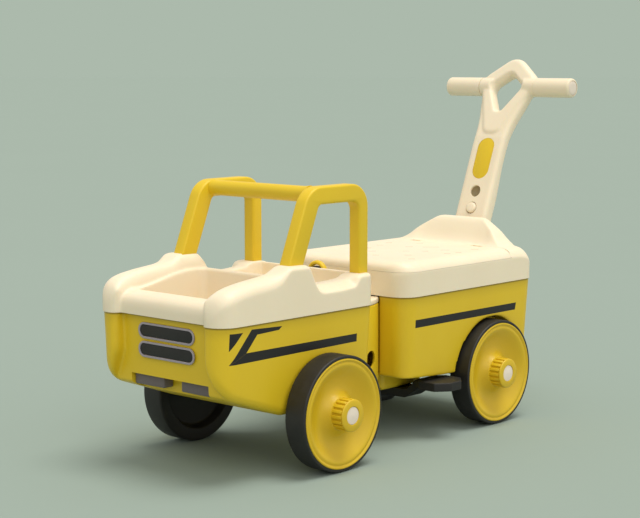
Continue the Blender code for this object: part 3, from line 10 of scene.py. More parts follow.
import bmesh
import bpy
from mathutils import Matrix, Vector


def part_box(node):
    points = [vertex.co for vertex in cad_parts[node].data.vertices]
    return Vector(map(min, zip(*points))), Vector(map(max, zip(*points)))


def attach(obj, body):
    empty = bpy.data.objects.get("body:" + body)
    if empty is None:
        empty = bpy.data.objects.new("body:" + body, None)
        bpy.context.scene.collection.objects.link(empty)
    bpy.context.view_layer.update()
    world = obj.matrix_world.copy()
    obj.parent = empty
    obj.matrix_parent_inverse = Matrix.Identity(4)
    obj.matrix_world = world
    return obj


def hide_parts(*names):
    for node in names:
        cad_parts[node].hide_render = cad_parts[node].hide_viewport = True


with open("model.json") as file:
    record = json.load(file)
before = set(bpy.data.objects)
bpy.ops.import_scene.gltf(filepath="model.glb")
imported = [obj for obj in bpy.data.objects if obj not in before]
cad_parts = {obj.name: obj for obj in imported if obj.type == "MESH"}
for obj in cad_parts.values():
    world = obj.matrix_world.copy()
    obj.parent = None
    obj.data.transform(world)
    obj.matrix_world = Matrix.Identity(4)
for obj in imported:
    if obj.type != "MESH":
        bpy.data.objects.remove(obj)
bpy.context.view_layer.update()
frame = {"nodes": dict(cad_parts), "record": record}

LOG = logging.getLogger("ride_on_truck")

# Sizes that the sub-assemblies share: half the body's width, height of the joint between the yellow tubs and
# the cream covers, draft of the walls, their thickness, gap of a seam, step between cover and tub, a place
# beyond the truck, and steps of a round corner
HALF_WIDTH = 0.125
SPLIT_Z = 0.215
DRAFT = 0.06
WALL = 0.0032
SEAM = 0.0003
REVEAL = 0.0014
FAR = 0.6
CORNER_STEPS = 14

Point = tuple[float, float, float]
Flat = tuple[float, float]
Shape = bpy.types.Object
Colour = tuple[float, float, float, float]


class Join(Enum):
    """How one shape is combined with another."""

    CUT = "DIFFERENCE"
    ADD = "UNION"
    KEEP = "INTERSECT"


class Solver(Enum):
    """How a combination is worked out."""

    EXACT = "EXACT"
    CRISP = "MANIFOLD"


class Side(Enum):
    """The two sides of the truck, by the sign of X."""

    LEFT = 1
    RIGHT = -1

    @property
    def word(self) -> str:
        """Name used in the names of nodes and pieces."""
        return self.name.lower()


class Value:
    """A socket of a shader that takes part in ordinary arithmetic."""

    def __init__(self, graph: "Graph", socket: bpy.types.NodeSocket) -> None:
        """Wrap one output socket."""
        self.graph = graph
        self.socket = socket

    def _math(self, operation: str, *terms: "Value | float", clamp: bool = False) -> "Value":
        """Add one Math node."""
        inputs = {index: term for index, term in enumerate(terms)}
        return self.graph.value("ShaderNodeMath", {"operation": operation, "use_clamp": clamp}, inputs)

    def __add__(self, other: "Value | float") -> "Value":
        """Sum."""
        return self._math("ADD", self, other)

    def __radd__(self, other: float) -> "Value":
        """Sum with a number on the left."""
        return self._math("ADD", other, self)

    def __sub__(self, other: "Value | float") -> "Value":
        """Difference."""
        return self._math("SUBTRACT", self, other)

    def __rsub__(self, other: float) -> "Value":
        """Difference from a number on the left."""
        return self._math("SUBTRACT", other, self)

    def __mul__(self, other: "Value | float") -> "Value":
        """Product."""
        return self._math("MULTIPLY", self, other)

    def __rmul__(self, other: float) -> "Value":
        """Product with a number on the left."""
        return self._math("MULTIPLY", other, self)

    def __truediv__(self, other: "Value | float") -> "Value":
        """Quotient."""
        return self._math("DIVIDE", self, other)

    def __abs__(self) -> "Value":
        """Size without its sign."""
        return self._math("ABSOLUTE", self)

    def least(self, other: "Value | float") -> "Value":
        """The smaller of the two."""
        return self._math("MINIMUM", self, other)

    def most(self, other: "Value | float") -> "Value":
        """The larger of the two."""
        return self._math("MAXIMUM", self, other)

    def ramp(self, low: float, high: float) -> "Value":
        """Rise smoothly from 0 to 1."""
        settings = {"interpolation_type": "SMOOTHSTEP"}
        return self.graph.value("ShaderNodeMapRange", settings, {0: self, 1: low, 2: high, 3: 0.0, 4: 1.0})


class Graph:
    """One material's node tree, with a single way of adding a node."""

    def __init__(self, name: str) -> None:
        """Start a material.

        Args:
            name: The material's name.
        """
        self.material = bpy.data.materials.new(name)
        self.material.use_nodes = True
        self.tree = self.material.node_tree
        self.shader = self.tree.nodes["Principled BSDF"]

    def node(self, kind: str, settings: dict | None = None, inputs: dict | None = None) -> bpy.types.Node:
        """Add a node, set it up and feed it.

        Args:
            kind: Blender's type name of the node.
            settings: Properties that are set before the sockets.
            inputs: Values, sockets or numbers by the socket's name or place.

        Returns:
            The new node.
        """
        made = self.tree.nodes.new(kind)
        for key, setting in (settings or {}).items():
            setattr(made, key, setting)
        for key, given in (inputs or {}).items():
            self.feed(made.inputs[key], given)
        return made

    def value(self, kind: str, settings: dict | None = None, inputs: dict | None = None,
              output: int | str = 0) -> Value:
        """Add a node and wrap one of its outputs."""
        return Value(self, self.node(kind, settings, inputs).outputs[output])

    def feed(self, socket: bpy.types.NodeSocket, given: "Value | float | Sequence[float]") -> None:
        """Link a value to a socket, or set the socket's own number or colour.

        Args:
            socket: The socket.
            given: What it gets.
        """
        if isinstance(given, Value):
            self.tree.links.new(given.socket, socket)
        else:
            socket.default_value = given

    def dress(self, socket: str, given: "Value | float | Sequence[float]") -> None:
        """Link a value to a socket of the material's shader, or set that socket's own number."""
        self.feed(self.shader.inputs[socket], given)

    def place(self) -> Value:
        """Object coordinates, in metres."""
        return self.value("ShaderNodeTexCoord", None, None, "Object")

    def split(self, vector: Value) -> tuple[Value, Value, Value]:
        """The three parts of a vector as separate values."""
        made = self.node("ShaderNodeSeparateXYZ", None, {0: vector})
        return Value(self, made.outputs[0]), Value(self, made.outputs[1]), Value(self, made.outputs[2])

    def axes(self) -> tuple[Value, Value, Value]:
        """The three object coordinates as separate values."""
        return self.split(self.place())

    def facing(self) -> tuple[Value, Value, Value]:
        """The three parts of the surface's own direction."""
        return self.split(self.value("ShaderNodeTexCoord", None, None, "Normal"))

    def noise(self, scale: float, detail: float = 2.0, roughness: float = 0.5) -> Value:
        """Cloudy noise between 0 and 1, with so many features per metre."""
        inputs = {"Vector": self.place(), "Scale": scale, "Detail": detail, "Roughness": roughness}
        return self.value("ShaderNodeTexNoise", None, inputs, "Fac")

    def blend(self, factor: "Value | float", first: "Value | Sequence[float]",
              second: "Value | Sequence[float]") -> Value:
        """Mix two colours."""
        return self.value("ShaderNodeMix", {"data_type": "RGBA"}, {0: factor, 6: first, 7: second}, 2)

    def relief(self, height: Value, distance: float, strength: float = 1.0) -> Value:
        """Turn a height from 0 to 1, which stands for a distance in metres, into a normal."""
        inputs = {"Height": height, "Distance": distance, "Strength": strength}
        return self.value("ShaderNodeBump", None, inputs)


def linear(red: int, green: int, blue: int) -> Colour:
    """Colour as a screen shows it, from 0 to 255, as the linear colour that a shader takes.

    Args:
        red: Level of red.
        green: Level of green.
        blue: Level of blue.

    Returns:
        The linear colour.
    """
    def one(level: int) -> float:
        """One channel's share of full light."""
        share = level / 255
        return share / 12.92 if share <= 0.04045 else ((share + 0.055) / 1.055) ** 2.4
    return one(red), one(green), one(blue), 1.0


@dataclass(frozen=True)
class MouldedPlastic:
    """Moulded plastic with a faint flow pattern, a fine grain and a worn sheen."""

    name: str
    colour: Colour
    shade: Colour
    roughness: float = 0.42
    grain: float = 0.00003
    grain_scale: float = 1400.0
    depth: float = 0.0

    def base(self, graph: Graph) -> Value:
        """Base colour with the faint flow pattern.

        Args:
            graph: The material's graph.

        Returns:
            The colour.
        """
        flow = graph.noise(9.0, 3.0, 0.55).ramp(0.32, 0.68)
        speck = graph.noise(260.0, 2.0, 0.6).ramp(0.45, 0.75)
        return graph.blend(flow * 0.55 + speck * 0.18, self.colour, self.shade)

    def paint(self, graph: Graph, colour: Value) -> Value:
        """Leave the colour as it is; finishes with a print or a painted shade change it here."""
        return colour

    def make(self) -> bpy.types.Material:
        """Build the material.

        Returns:
            The finished material.
        """
        graph = Graph(self.name)
        graph.dress("Base Color", self.paint(graph, self.base(graph)))
        rub = graph.noise(34.0, 4.0, 0.6).ramp(0.38, 0.72)
        graph.dress("Roughness", self.roughness + rub * 0.10)
        grain = graph.noise(self.grain_scale, 1.0, 0.5)
        graph.dress("Normal", graph.relief(grain, self.grain, 0.6))
        graph.dress("IOR", 1.49)
        graph.dress("Subsurface Weight", self.depth)
        graph.dress("Subsurface Radius", (0.010, 0.006, 0.003))
        graph.dress("Subsurface Scale", 0.35)
        return graph.material


@dataclass(frozen=True)
class Stripe:
    """A printed shape on the truck's side: corners as (distance along, height), in metres."""

    corners: tuple[Flat, ...]


@dataclass(frozen=True)
class PrintedPlastic(MouldedPlastic):
    """Moulded plastic with dark shapes printed on both sides of the truck, and painted shade under the
    cover's edge.
    """

    stripes: tuple[Stripe, ...] = ()
    ink: Colour = (0.010, 0.008, 0.009, 1.0)
    least_x: float = 0.112
    blur: float = 0.00015
    # height of the cover's edge, and the painted shade under it: a soft fade, a darker line and the colour of
    # that shade
    edge_z: float = 0.215
    shade_fade_depth: float = 0.020
    shade_fade_share: float = 0.20
    shade_line_low: float = 0.0032
    shade_line_high: float = 0.0010
    shade_line_share: float = 0.55
    dust_and_painted_shade: Colour = (0.205, 0.125, 0.008, 1.0)

    def inside(self, stripe: Stripe, along: Value, height: Value) -> Value:
        """Mask of one convex printed shape.

        Args:
            stripe: The shape, with its corners anticlockwise as (along, height).
            along: Distance along the truck.
            height: Height above the ground.

        Returns:
            1 inside and 0 outside, with an edge of a third of a millimetre.
        """
        mask = None
        count = len(stripe.corners)
        for index, (y0, z0) in enumerate(stripe.corners):
            y1, z1 = stripe.corners[(index + 1) % count]
            length = math.hypot(y1 - y0, z1 - z0)
            across = (height - z0) * ((y1 - y0) / length) - (along - y0) * ((z1 - z0) / length)
            edge = across.ramp(-self.blur, self.blur)
            mask = edge if mask is None else mask * edge
        return mask

    def paint(self, graph: Graph, colour: Value) -> Value:
        """Print the stripes over the outer sides, and paint shade under the cover's edge.

        Args:
            graph: The material's graph.
            colour: The plastic's own colour.

        Returns:
            The printed colour with its painted shade.
        """
        across, along, height = graph.axes()
        mask = None
        for stripe in self.stripes:
            shape = self.inside(stripe, along, height)
            mask = shape if mask is None else mask.most(shape)
        outwards = (across * graph.facing()[0]).ramp(0.0, 0.03)
        on_side = abs(across).ramp(self.least_x, self.least_x + 0.001) * outwards
        # painted shade under the cream cover's edge, where its shadow falls on the tub: a soft fade, and a
        # darker line held in line
        painted_fade = height.ramp(self.edge_z - self.shade_fade_depth, self.edge_z) * self.shade_fade_share
        line = height.ramp(self.edge_z - self.shade_line_low, self.edge_z - self.shade_line_high) * self.shade_line_share
        shaded = graph.blend(painted_fade + line, colour, self.dust_and_painted_shade)
        return graph.blend(mask * on_side, shaded, self.ink)


@dataclass(frozen=True)
class HollowShadedPlastic(MouldedPlastic):
    """Moulded plastic with a painted brown shade inside its round hollows."""

    centres: tuple[Point, ...] = ()
    inward: Point = (0.0, 1.0, 0.0)
    radius: float = 0.0112
    start: Flat = (0.0004, 0.0040)
    end: Flat = (0.0120, 0.0140)
    # colour of the painted shade inside the hollows
    hollow_shade: Colour = (0.36, 0.285, 0.155, 1.0)

    def paint(self, graph: Graph, colour: Value) -> Value:
        """Paint shade below the rim of the hollow, but not on the far side of the handle.

        Args:
            graph: The material's graph.
            colour: The plastic's own colour.

        Returns:
            The colour with its painted shade.
        """
        axes = graph.axes()
        mask = None
        for centre in self.centres:
            away = [axis - at for axis, at in zip(axes, centre)]
            depth = away[0] * self.inward[0] + away[1] * self.inward[1] + away[2] * self.inward[2]
            square = away[0] * away[0] + away[1] * away[1] + away[2] * away[2] - depth * depth
            near = 1.0 - square.ramp(self.radius ** 2 * 0.9, self.radius ** 2)
            # painted shade from just below the rim down into the hollow, where shade falls
            hollow_shade = depth.ramp(*self.start) * (1.0 - depth.ramp(*self.end)) * near
            mask = hollow_shade if mask is None else mask.most(hollow_shade)
        return graph.blend(mask, colour, self.hollow_shade)


@dataclass(frozen=True)
class MarkedPlastic(MouldedPlastic):
    """Moulded plastic whose short grooves in the level top are a little darker, a painted shade in the
    grooves.
    """

    top_z: float = 0.2655
    half: float = 0.099
    edge: float = 0.002
    reach_y: Flat = (0.0, 1.0)
    # colour of the painted shade in the grooves
    tint: Colour = (0.42, 0.35, 0.24, 1.0)

    def paint(self, graph: Graph, colour: Value) -> Value:
        """Paint shade into the grooves.

        Args:
            graph: The material's graph.
            colour: The plastic's own colour.

        Returns:
            The colour with the painted shade in the grooves.
        """
        across, along, height = graph.axes()
        # painted shade: darker only below the seat's level top, inside the grooves
        deep = 1.0 - height.ramp(self.top_z - 0.0004, self.top_z - 0.0001)
        level = height.ramp(self.top_z - 0.0014, self.top_z - 0.0012)
        low, high = self.reach_y
        inside = along.ramp(low, low + self.edge) * (1.0 - along.ramp(high - self.edge, high))
        inside = inside * (1.0 - abs(across).ramp(self.half - self.edge, self.half))
        return graph.blend(deep * level * inside, colour, self.tint)


@dataclass(frozen=True)
class TreadRubber:
    """Dark wheel plastic with a dull, scuffed tread."""

    name: str
    colour: Colour
    # colour of the real dust on the scuffed tread
    dust_and_painted_shade: Colour
    roughness: float = 0.5

    def make(self) -> bpy.types.Material:
        """Build the material.

        Returns:
            The finished material.
        """
        graph = Graph(self.name)
        scuff = graph.noise(60.0, 5.0, 0.65).ramp(0.46, 0.8)
        graph.dress("Base Color", graph.blend(scuff * 0.5, self.colour, self.dust_and_painted_shade))
        graph.dress("Roughness", self.roughness + scuff * 0.16)
        grain = graph.noise(900.0, 2.0, 0.6)
        graph.dress("Normal", graph.relief(grain, 0.00008, 0.7))
        return graph.material


@dataclass(frozen=True)
class DrawnSteel:
    """Plain drawn steel with fine lines along X."""

    name: str
    colour: Colour = (0.55, 0.55, 0.56, 1.0)
    shade: Colour = (0.36, 0.36, 0.37, 1.0)
    stretch: Point = (40.0, 1800.0, 1800.0)

    def make(self) -> bpy.types.Material:
        """Build the material.

        Returns:
            The finished material.
        """
        graph = Graph(self.name)
        drawn = graph.value("ShaderNodeMapping", None, {"Vector": graph.place(), "Scale": self.stretch})
        lines = graph.value("ShaderNodeTexNoise", None, {"Vector": drawn, "Scale": 1.0, "Detail": 2.0}, "Fac")
        graph.dress("Metallic", 1.0)
        graph.dress("Base Color", graph.blend(lines, self.colour, self.shade))
        graph.dress("Roughness", 0.24 + lines * 0.16)
        return graph.material


class Finish:
    """The finishes of the truck, each made once."""

    def __init__(self, front_y: float) -> None:
        """Build every material.

        Args:
            front_y: Place of the front axle along the truck.
        """
        def shape(*corners: Flat) -> Stripe:
            """A printed shape from corners in millimetres, measured from the front axle."""
            return Stripe(tuple((front_y + y / 1000, z / 1000) for y, z in corners))
        yellow = linear(229, 196, 35)
        yellow_shade = linear(224, 190, 31)
        cream = linear(243, 230, 204)
        cream_shade = linear(239, 225, 197)
        front_print = (
            shape((-179.2, 184.1), (-157.4, 206.9), (-179.0, 207.2)),
            shape((-178.7, 165.9), (-149.7, 179.1), (-130.9, 201.2), (-141.6, 209.3)),
            shape((-149.0, 200.6), (-130.9, 201.2), (-90.7, 202.2), (-84.2, 207.0), (-141.6, 209.3)),
            shape((-178.7, 165.9), (68.2, 166.7), (68.2, 178.0), (-149.7, 179.1)),
        )
        rear_print = (shape((198.0, 169.1), (444.7, 168.7), (446.3, 179.8), (197.9, 181.0)),)
        self.yellow = MouldedPlastic("yellow_moulding", yellow, yellow_shade, 0.40, depth=0.04).make()
        # printed yellow shells, with painted shade under the cream cover's edge
        self.front_side = PrintedPlastic("yellow_front_shell", yellow, yellow_shade, 0.40, depth=0.04,
                                         stripes=front_print).make()
        self.rear_side = PrintedPlastic("yellow_rear_shell", yellow, yellow_shade, 0.40, depth=0.04,
                                        stripes=rear_print).make()
        self.wheel = MouldedPlastic("yellow_wheel", linear(217, 184, 33), linear(212, 178, 29), 0.38,
                                    depth=0.04).make()
        self.cream = MouldedPlastic("cream_moulding", cream, cream_shade, 0.44, depth=0.10).make()
        rake = Handle.rake
        hollows = [Handle.point(0.0, s, 0.0) for s in (0.0, Handle.button_s)]
        # the handle's dimple and button hole get a painted shade
        self.handle = HollowShadedPlastic("cream_handle", cream, cream_shade, 0.44, depth=0.10,
                                     centres=tuple((x, front_y + y, z) for x, y, z in hollows),
                                     inward=(0.0, math.cos(rake), -math.sin(rake))).make()
        # the seat's grooves get a painted shade
        self.seat = MarkedPlastic("cream_seat", cream, cream_shade, 0.44, depth=0.10,
                                  reach_y=(front_y + 0.205, front_y + 0.405)).make()
        self.white = MouldedPlastic("pale_plug", linear(240, 228, 214), linear(230, 216, 200), 0.40).make()
        self.black = MouldedPlastic("black_moulding", linear(27, 26, 26), linear(36, 35, 34), 0.52).make()
        self.tread = TreadRubber("wheel_black", linear(29, 28, 27), linear(50, 48, 46)).make()
        self.grey = MouldedPlastic("grey_bumper", linear(112, 103, 104), linear(92, 84, 84), 0.42).make()
        self.rim = MouldedPlastic("pale_rim", linear(168, 160, 168), linear(150, 142, 152), 0.35).make()
        self.steel = DrawnSteel("drawn_steel").make()


@dataclass
class Workbench:
    """Modelling steps shared by the sub-assemblies. Shapes are drawn with the front axle at Y = 0."""

    front_y: float
    finish: Finish
    sharp: float = 32.0

    def clear(self) -> None:
        """Leave edit mode and deselect everything."""
        if bpy.context.object is not None and bpy.context.object.mode != "OBJECT":
            bpy.ops.object.mode_set(mode="OBJECT")
        bpy.ops.object.select_all(action="DESELECT")

    def take(self, shape: Shape) -> None:
        """Make one object the selected and active one.

        Args:
            shape: The object.
        """
        self.clear()
        shape.select_set(True)
        bpy.context.view_layer.objects.active = shape

    def edit(self) -> None:
        """Enter edit mode with everything selected."""
        bpy.ops.object.mode_set(mode="EDIT")
        bpy.ops.mesh.select_all(action="SELECT")

    def place_ring(self, shape: Shape, order: dict[int, int],
                   ring: Sequence[Point]) -> dict[int, int]:
        """Move the selected ring of vertices onto new points.

        Args:
            shape: The object in edit mode.
            order: Place in the ring of each vertex of the ring before, by its index.
            ring: The points.

        Returns:
            Place in the ring of each moved vertex, by its index.
        """
        mesh = bmesh.from_edit_mesh(shape.data)
        mesh.verts.index_update()
        chosen = [v for v in mesh.verts if v.select]
        ranks = {}
        for vertex in chosen:
            below = [e.other_vert(vertex).index for e in vertex.link_edges if not e.other_vert(vertex).select]
            ranks[vertex.index] = order[below[0]] if below and order else vertex.index
        for vertex in chosen:
            vertex.co = ring[ranks[vertex.index]]
        bmesh.update_edit_mesh(shape.data)
        return ranks

    def loft(self, name: str, rings: Sequence[Sequence[Point]]) -> Shape:
        """Extrude a filled ring through further rings with as many points.

        Args:
            name: Name of the shape.
            rings: The rings in order.

        Returns:
            A closed shape.
        """
        self.clear()
        bpy.ops.mesh.primitive_circle_add(vertices=len(rings[0]), radius=0.1, fill_type="NGON")
        shape = bpy.context.active_object
        shape.name = shape.data.name = name
        self.edit()
        order = self.place_ring(shape, {}, rings[0])
        for ring in rings[1:]:
            bpy.ops.mesh.extrude_region()
            order = self.place_ring(shape, order, ring)
        bpy.ops.mesh.select_all(action="SELECT")
        bpy.ops.mesh.normals_make_consistent(inside=False)
        bpy.ops.object.mode_set(mode="OBJECT")
        return shape

    def prism(self, name: str, outline: Sequence[Flat], low: float, high: float,
              axis: str = "x") -> Shape:
        """Extrude an outline of points across an axis, x, y or z, from low to high along it.

        Args:
            name: Name of the shape.
            outline: Points of the outline, in the two other axes.
            low: Where it starts along the axis.
            high: Where it ends.
            axis: The axis that it is extruded along.

        Returns:
            A closed shape.
        """
        place = {"x": lambda p, at: (at, p[0], p[1]), "y": lambda p, at: (p[0], at, p[1]),
                 "z": lambda p, at: (p[0], p[1], at)}[axis]
        return self.loft(name, [[place(p, at) for p in outline] for at in (low, high)])

    def box(self, name: str, low: Point, high: Point) -> Shape:
        """A block between two corners, for cutting and joining."""
        corners = [(low[0], low[1]), (high[0], low[1]), (high[0], high[1]), (low[0], high[1])]
        return self.prism(name, corners, low[2], high[2], "z")

    def rod(self, name: str, start: Point, end: Point, radius: float, sides: int = 64) -> Shape:
        """Cylinder between two points.

        Args:
            name: Name of the shape.
            start: Middle of one end.
            end: Middle of the other end.
            radius: Its radius.
            sides: Number of sides.

        Returns:
            A closed shape.
        """
        self.clear()
        way = Vector(end) - Vector(start)
        bpy.ops.mesh.primitive_cylinder_add(vertices=sides, radius=radius, depth=way.length,
                                            location=(Vector(start) + Vector(end)) / 2,
                                            rotation=way.to_track_quat("Z", "Y").to_euler())
        shape = bpy.context.active_object
        shape.name = shape.data.name = name
        bpy.ops.object.transform_apply(location=True, rotation=True, scale=True)
        return shape

    def cross_rod(self, name: str, start_x: float, end_x: float, at: Flat, radius: float,
                  sides: int = 64) -> Shape:
        """Cylinder along X between two places, its axis at (Y, Z)."""
        return self.rod(name, (start_x, *at), (end_x, *at), radius, sides)

    def upright(self, name: str, y: float, low: float, high: float, radius: float,
                sides: int = 64) -> Shape:
        """Upright cylinder in the middle of the truck, between two heights."""
        return self.rod(name, (0.0, y, low), (0.0, y, high), radius, sides)

    def turned(self, name: str, profile: Sequence[Flat], centre: Point, steps: int = 96) -> Shape:
        """Draw a profile by extruding one vertex, then spin it about an axis along X.

        Args:
            name: Name of the shape.
            profile: Closed profile of (distance out along X, radius).
            centre: Point on the axis, from which the distances are measured.
            steps: Steps of the full turn.

        Returns:
            A closed shape.
        """
        self.clear()
        bpy.ops.mesh.primitive_plane_add(size=0.01)
        shape = bpy.context.active_object
        shape.name = shape.data.name = name
        self.edit()
        bpy.ops.mesh.merge(type="CENTER")
        points = [Vector((centre[0] + out, centre[1], centre[2] + radius)) for out, radius in profile]
        bpy.ops.transform.translate(value=points[0])
        for here, ahead in zip(points, points[1:]):
            bpy.ops.mesh.extrude_region_move(TRANSFORM_OT_translate={"value": ahead - here})
        bpy.ops.mesh.select_all(action="SELECT")
        bpy.ops.mesh.edge_face_add()
        bpy.ops.mesh.delete(type="ONLY_FACE")
        bpy.ops.mesh.select_all(action="SELECT")
        bpy.ops.mesh.spin(steps=steps, angle=2 * math.pi, center=centre, axis=(1.0, 0.0, 0.0))
        bpy.ops.mesh.select_all(action="SELECT")
        bpy.ops.mesh.remove_doubles(threshold=0.00002)
        bpy.ops.mesh.normals_make_consistent(inside=False)
        bpy.ops.object.mode_set(mode="OBJECT")
        return shape

    def apply(self, shape: Shape, kind: str, **settings: object) -> None:
        """Add one modifier and apply it.

        Args:
            shape: The shape to change.
            kind: Blender's type name of the modifier.
            settings: Its properties.
        """
        modifier = shape.modifiers.new(kind.lower(), kind)
        for key, setting in settings.items():
            setattr(modifier, key, setting)
        self.take(shape)
        bpy.ops.object.modifier_apply(modifier=modifier.name)

    def combine(self, shape: Shape, tool: Shape, join: Join = Join.CUT,
                solver: Solver = Solver.EXACT) -> None:
        """Cut, join or intersect with another shape, which is used up."""
        self.apply(shape, "BOOLEAN", operation=join.value, object=tool, solver=solver.value)
        bpy.data.objects.remove(tool, do_unlink=True)

    def carve(self, shape: Shape, tool: Shape, join: Join = Join.CUT) -> None:
        """Combine with crisp edges, once the skin is closed and fine."""
        self.combine(shape, tool, join, Solver.CRISP)

    def soften(self, shape: Shape, grid: float, passes: int) -> None:
        """Rebuild the skin on a grid, in metres, and smooth it so often, as blow moulding rounds edges."""
        self.apply(shape, "REMESH", mode="VOXEL", voxel_size=grid, use_smooth_shade=True)
        self.apply(shape, "SMOOTH", factor=0.5, iterations=passes)

    def round_edges(self, shape: Shape, width: float, segments: int = 3,
                    angle: float = 35.0) -> None:
        """Bevel the edges that are sharper than an angle."""
        self.apply(shape, "BEVEL", width=width, segments=segments, limit_method="ANGLE",
                   angle_limit=math.radians(angle), use_clamp_overlap=True)

    def copy_node(self, node: str, name: str) -> Shape:
        """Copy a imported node's mesh and merge its loose triangles, in the bench's own place.

        Args:
            node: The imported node.
            name: Name of the copy.

        Returns:
            The copy.
        """
        shape = bpy.data.objects.new(name, frame["nodes"][node].data.copy())
        bpy.context.scene.collection.objects.link(shape)
        self.take(shape)
        self.edit()
        bpy.ops.mesh.remove_doubles(threshold=0.00001)
        bpy.ops.transform.translate(value=(0.0, -self.front_y, 0.0))
        bpy.ops.object.mode_set(mode="OBJECT")
        shape.data.materials.clear()
        return shape

    def copy(self, shape: Shape, shift: Point = (0.0, 0.0, 0.0), turn: float = 0.0,
             axis: int = 2) -> Shape:
        """Copy a shape with its own mesh, turned about an axis through the origin, then moved.

        Args:
            shape: The shape to copy.
            shift: How far the copy moves.
            turn: Angle that it turns by, in radians.
            axis: 0, 1 or 2 for a turn about X, Y or Z.

        Returns:
            The copy.
        """
        made = bpy.data.objects.new(shape.name, shape.data.copy())
        bpy.context.scene.collection.objects.link(made)
        made.rotation_euler[axis] = turn
        made.location = shift
        self.take(made)
        bpy.ops.object.transform_apply(location=True, rotation=True, scale=True)
        return made

    def discard(self, *shapes: Shape) -> None:
        """Remove the patterns that copies were made from."""
        for shape in shapes:
            bpy.data.objects.remove(shape, do_unlink=True)

    def settle(self, shape: Shape, name: str, body: str, slot: str, material: bpy.types.Material,
               node: str) -> None:
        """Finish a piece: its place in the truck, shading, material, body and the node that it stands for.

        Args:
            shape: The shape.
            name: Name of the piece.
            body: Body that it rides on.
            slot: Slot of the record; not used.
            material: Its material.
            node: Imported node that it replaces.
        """
        self.take(shape)
        self.edit()
        bpy.ops.transform.translate(value=(0.0, self.front_y, 0.0))
        bpy.ops.object.mode_set(mode="OBJECT")
        bpy.ops.object.shade_smooth_by_angle(angle=math.radians(self.sharp))
        shape.name = shape.data.name = name
        shape.data.materials.clear()
        shape.data.materials.append(material)
        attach(shape, body)
        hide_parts(node)
        LOG.info("%s: %d faces on %s", name, len(shape.data.polygons), body)


def rounded(corners: Sequence[tuple[float, float, float]], steps: int = 8) -> list[Flat]:
    """Outline through corners, each drawn as an arc.

    Args:
        corners: (across, up, radius) of each corner.
        steps: Steps of each arc.

    Returns:
        The outline's points.
    """
    points: list[Flat] = []
    count = len(corners)
    for index, (x, y, radius) in enumerate(corners):
        if radius <= 0.0:
            points.append((x, y))
            continue
        here = Vector((x, y))
        back = (Vector(corners[index - 1][:2]) - here).normalized()
        ahead = (Vector(corners[(index + 1) % count][:2]) - here).normalized()
        half = back.angle(ahead) / 2
        centre = here + (back + ahead).normalized() * (radius / math.sin(half))
        reach = radius / math.tan(half)
        start, end = here + back * reach - centre, here + ahead * reach - centre
        turn, base = start.angle_signed(end), math.atan2(start.y, start.x)
        for step in range(steps + 1):
            angle = base - turn * step / steps
            points.append((centre.x + radius * math.cos(angle), centre.y + radius * math.sin(angle)))
    return points


def oblong(half: float, low: float, high: float, radius: float, steps: int) -> list[Flat]:
    """Rectangle with round corners, half its width to each side, from low to high."""
    corners = [(half, low), (half, high), (-half, high), (-half, low)]
    return rounded([(across, up, radius) for across, up in corners], steps)


def circle(radius: float, count: int) -> list[Flat]:
    """Points round a circle about the origin."""
    turn = [2 * math.pi * k / count for k in range(count)]
    return [(radius * math.cos(t), radius * math.sin(t)) for t in turn]


@dataclass(frozen=True)
class Line:
    """A line through (place, value) points whose corners are rounded off."""

    points: tuple[Flat, ...]
    softness: float = 0.005

    def straight(self, at: float) -> float:
        """Value of the line with its corners left sharp.

        Args:
            at: Place along the line.

        Returns:
            The value.
        """
        if at <= self.points[0][0]:
            return self.points[0][1]
        for (x0, v0), (x1, v1) in zip(self.points, self.points[1:]):
            if at <= x1:
                return v0 + (v1 - v0) * (at - x0) / (x1 - x0)
        return self.points[-1][1]

    def at(self, place: float) -> float:
        """Value at a place, averaged over the softness to each side.

        Args:
            place: Place along the line.

        Returns:
            The value.
        """
        room = min(self.softness, place - self.points[0][0], self.points[-1][0] - place)
        if room <= 0.0:
            return self.straight(place)
        steps = 4
        weights = [steps + 1 - abs(k) for k in range(-steps, steps + 1)]
        total = sum(w * self.straight(place + room * k / steps) for w, k in
                    zip(weights, range(-steps, steps + 1)))
        return total / sum(weights)


def plan_half(y: float, front: float, back: float, front_r: float, back_r: float, half: float) -> float:
    """Half width of a rounded plan at a place along the truck.

    Args:
        y: The place.
        front: Front end of the plan.
        back: Rear end.
        front_r: Radius of the front corners.
        back_r: Radius of the rear corners.
        half: Greatest half width.

    Returns:
        The half width.
    """
    if y < front + front_r:
        gap = front + front_r - y
        return half - front_r + math.sqrt(max(front_r * front_r - gap * gap, 0.0))
    if y > back - back_r:
        gap = y - back + back_r
        return half - back_r + math.sqrt(max(back_r * back_r - gap * gap, 0.0))
    return half


def spread(start: float, end: float, count: int) -> list[float]:
    """Evenly spaced places from start to end."""
    return [start + (end - start) * (index / count) for index in range(count + 1)]


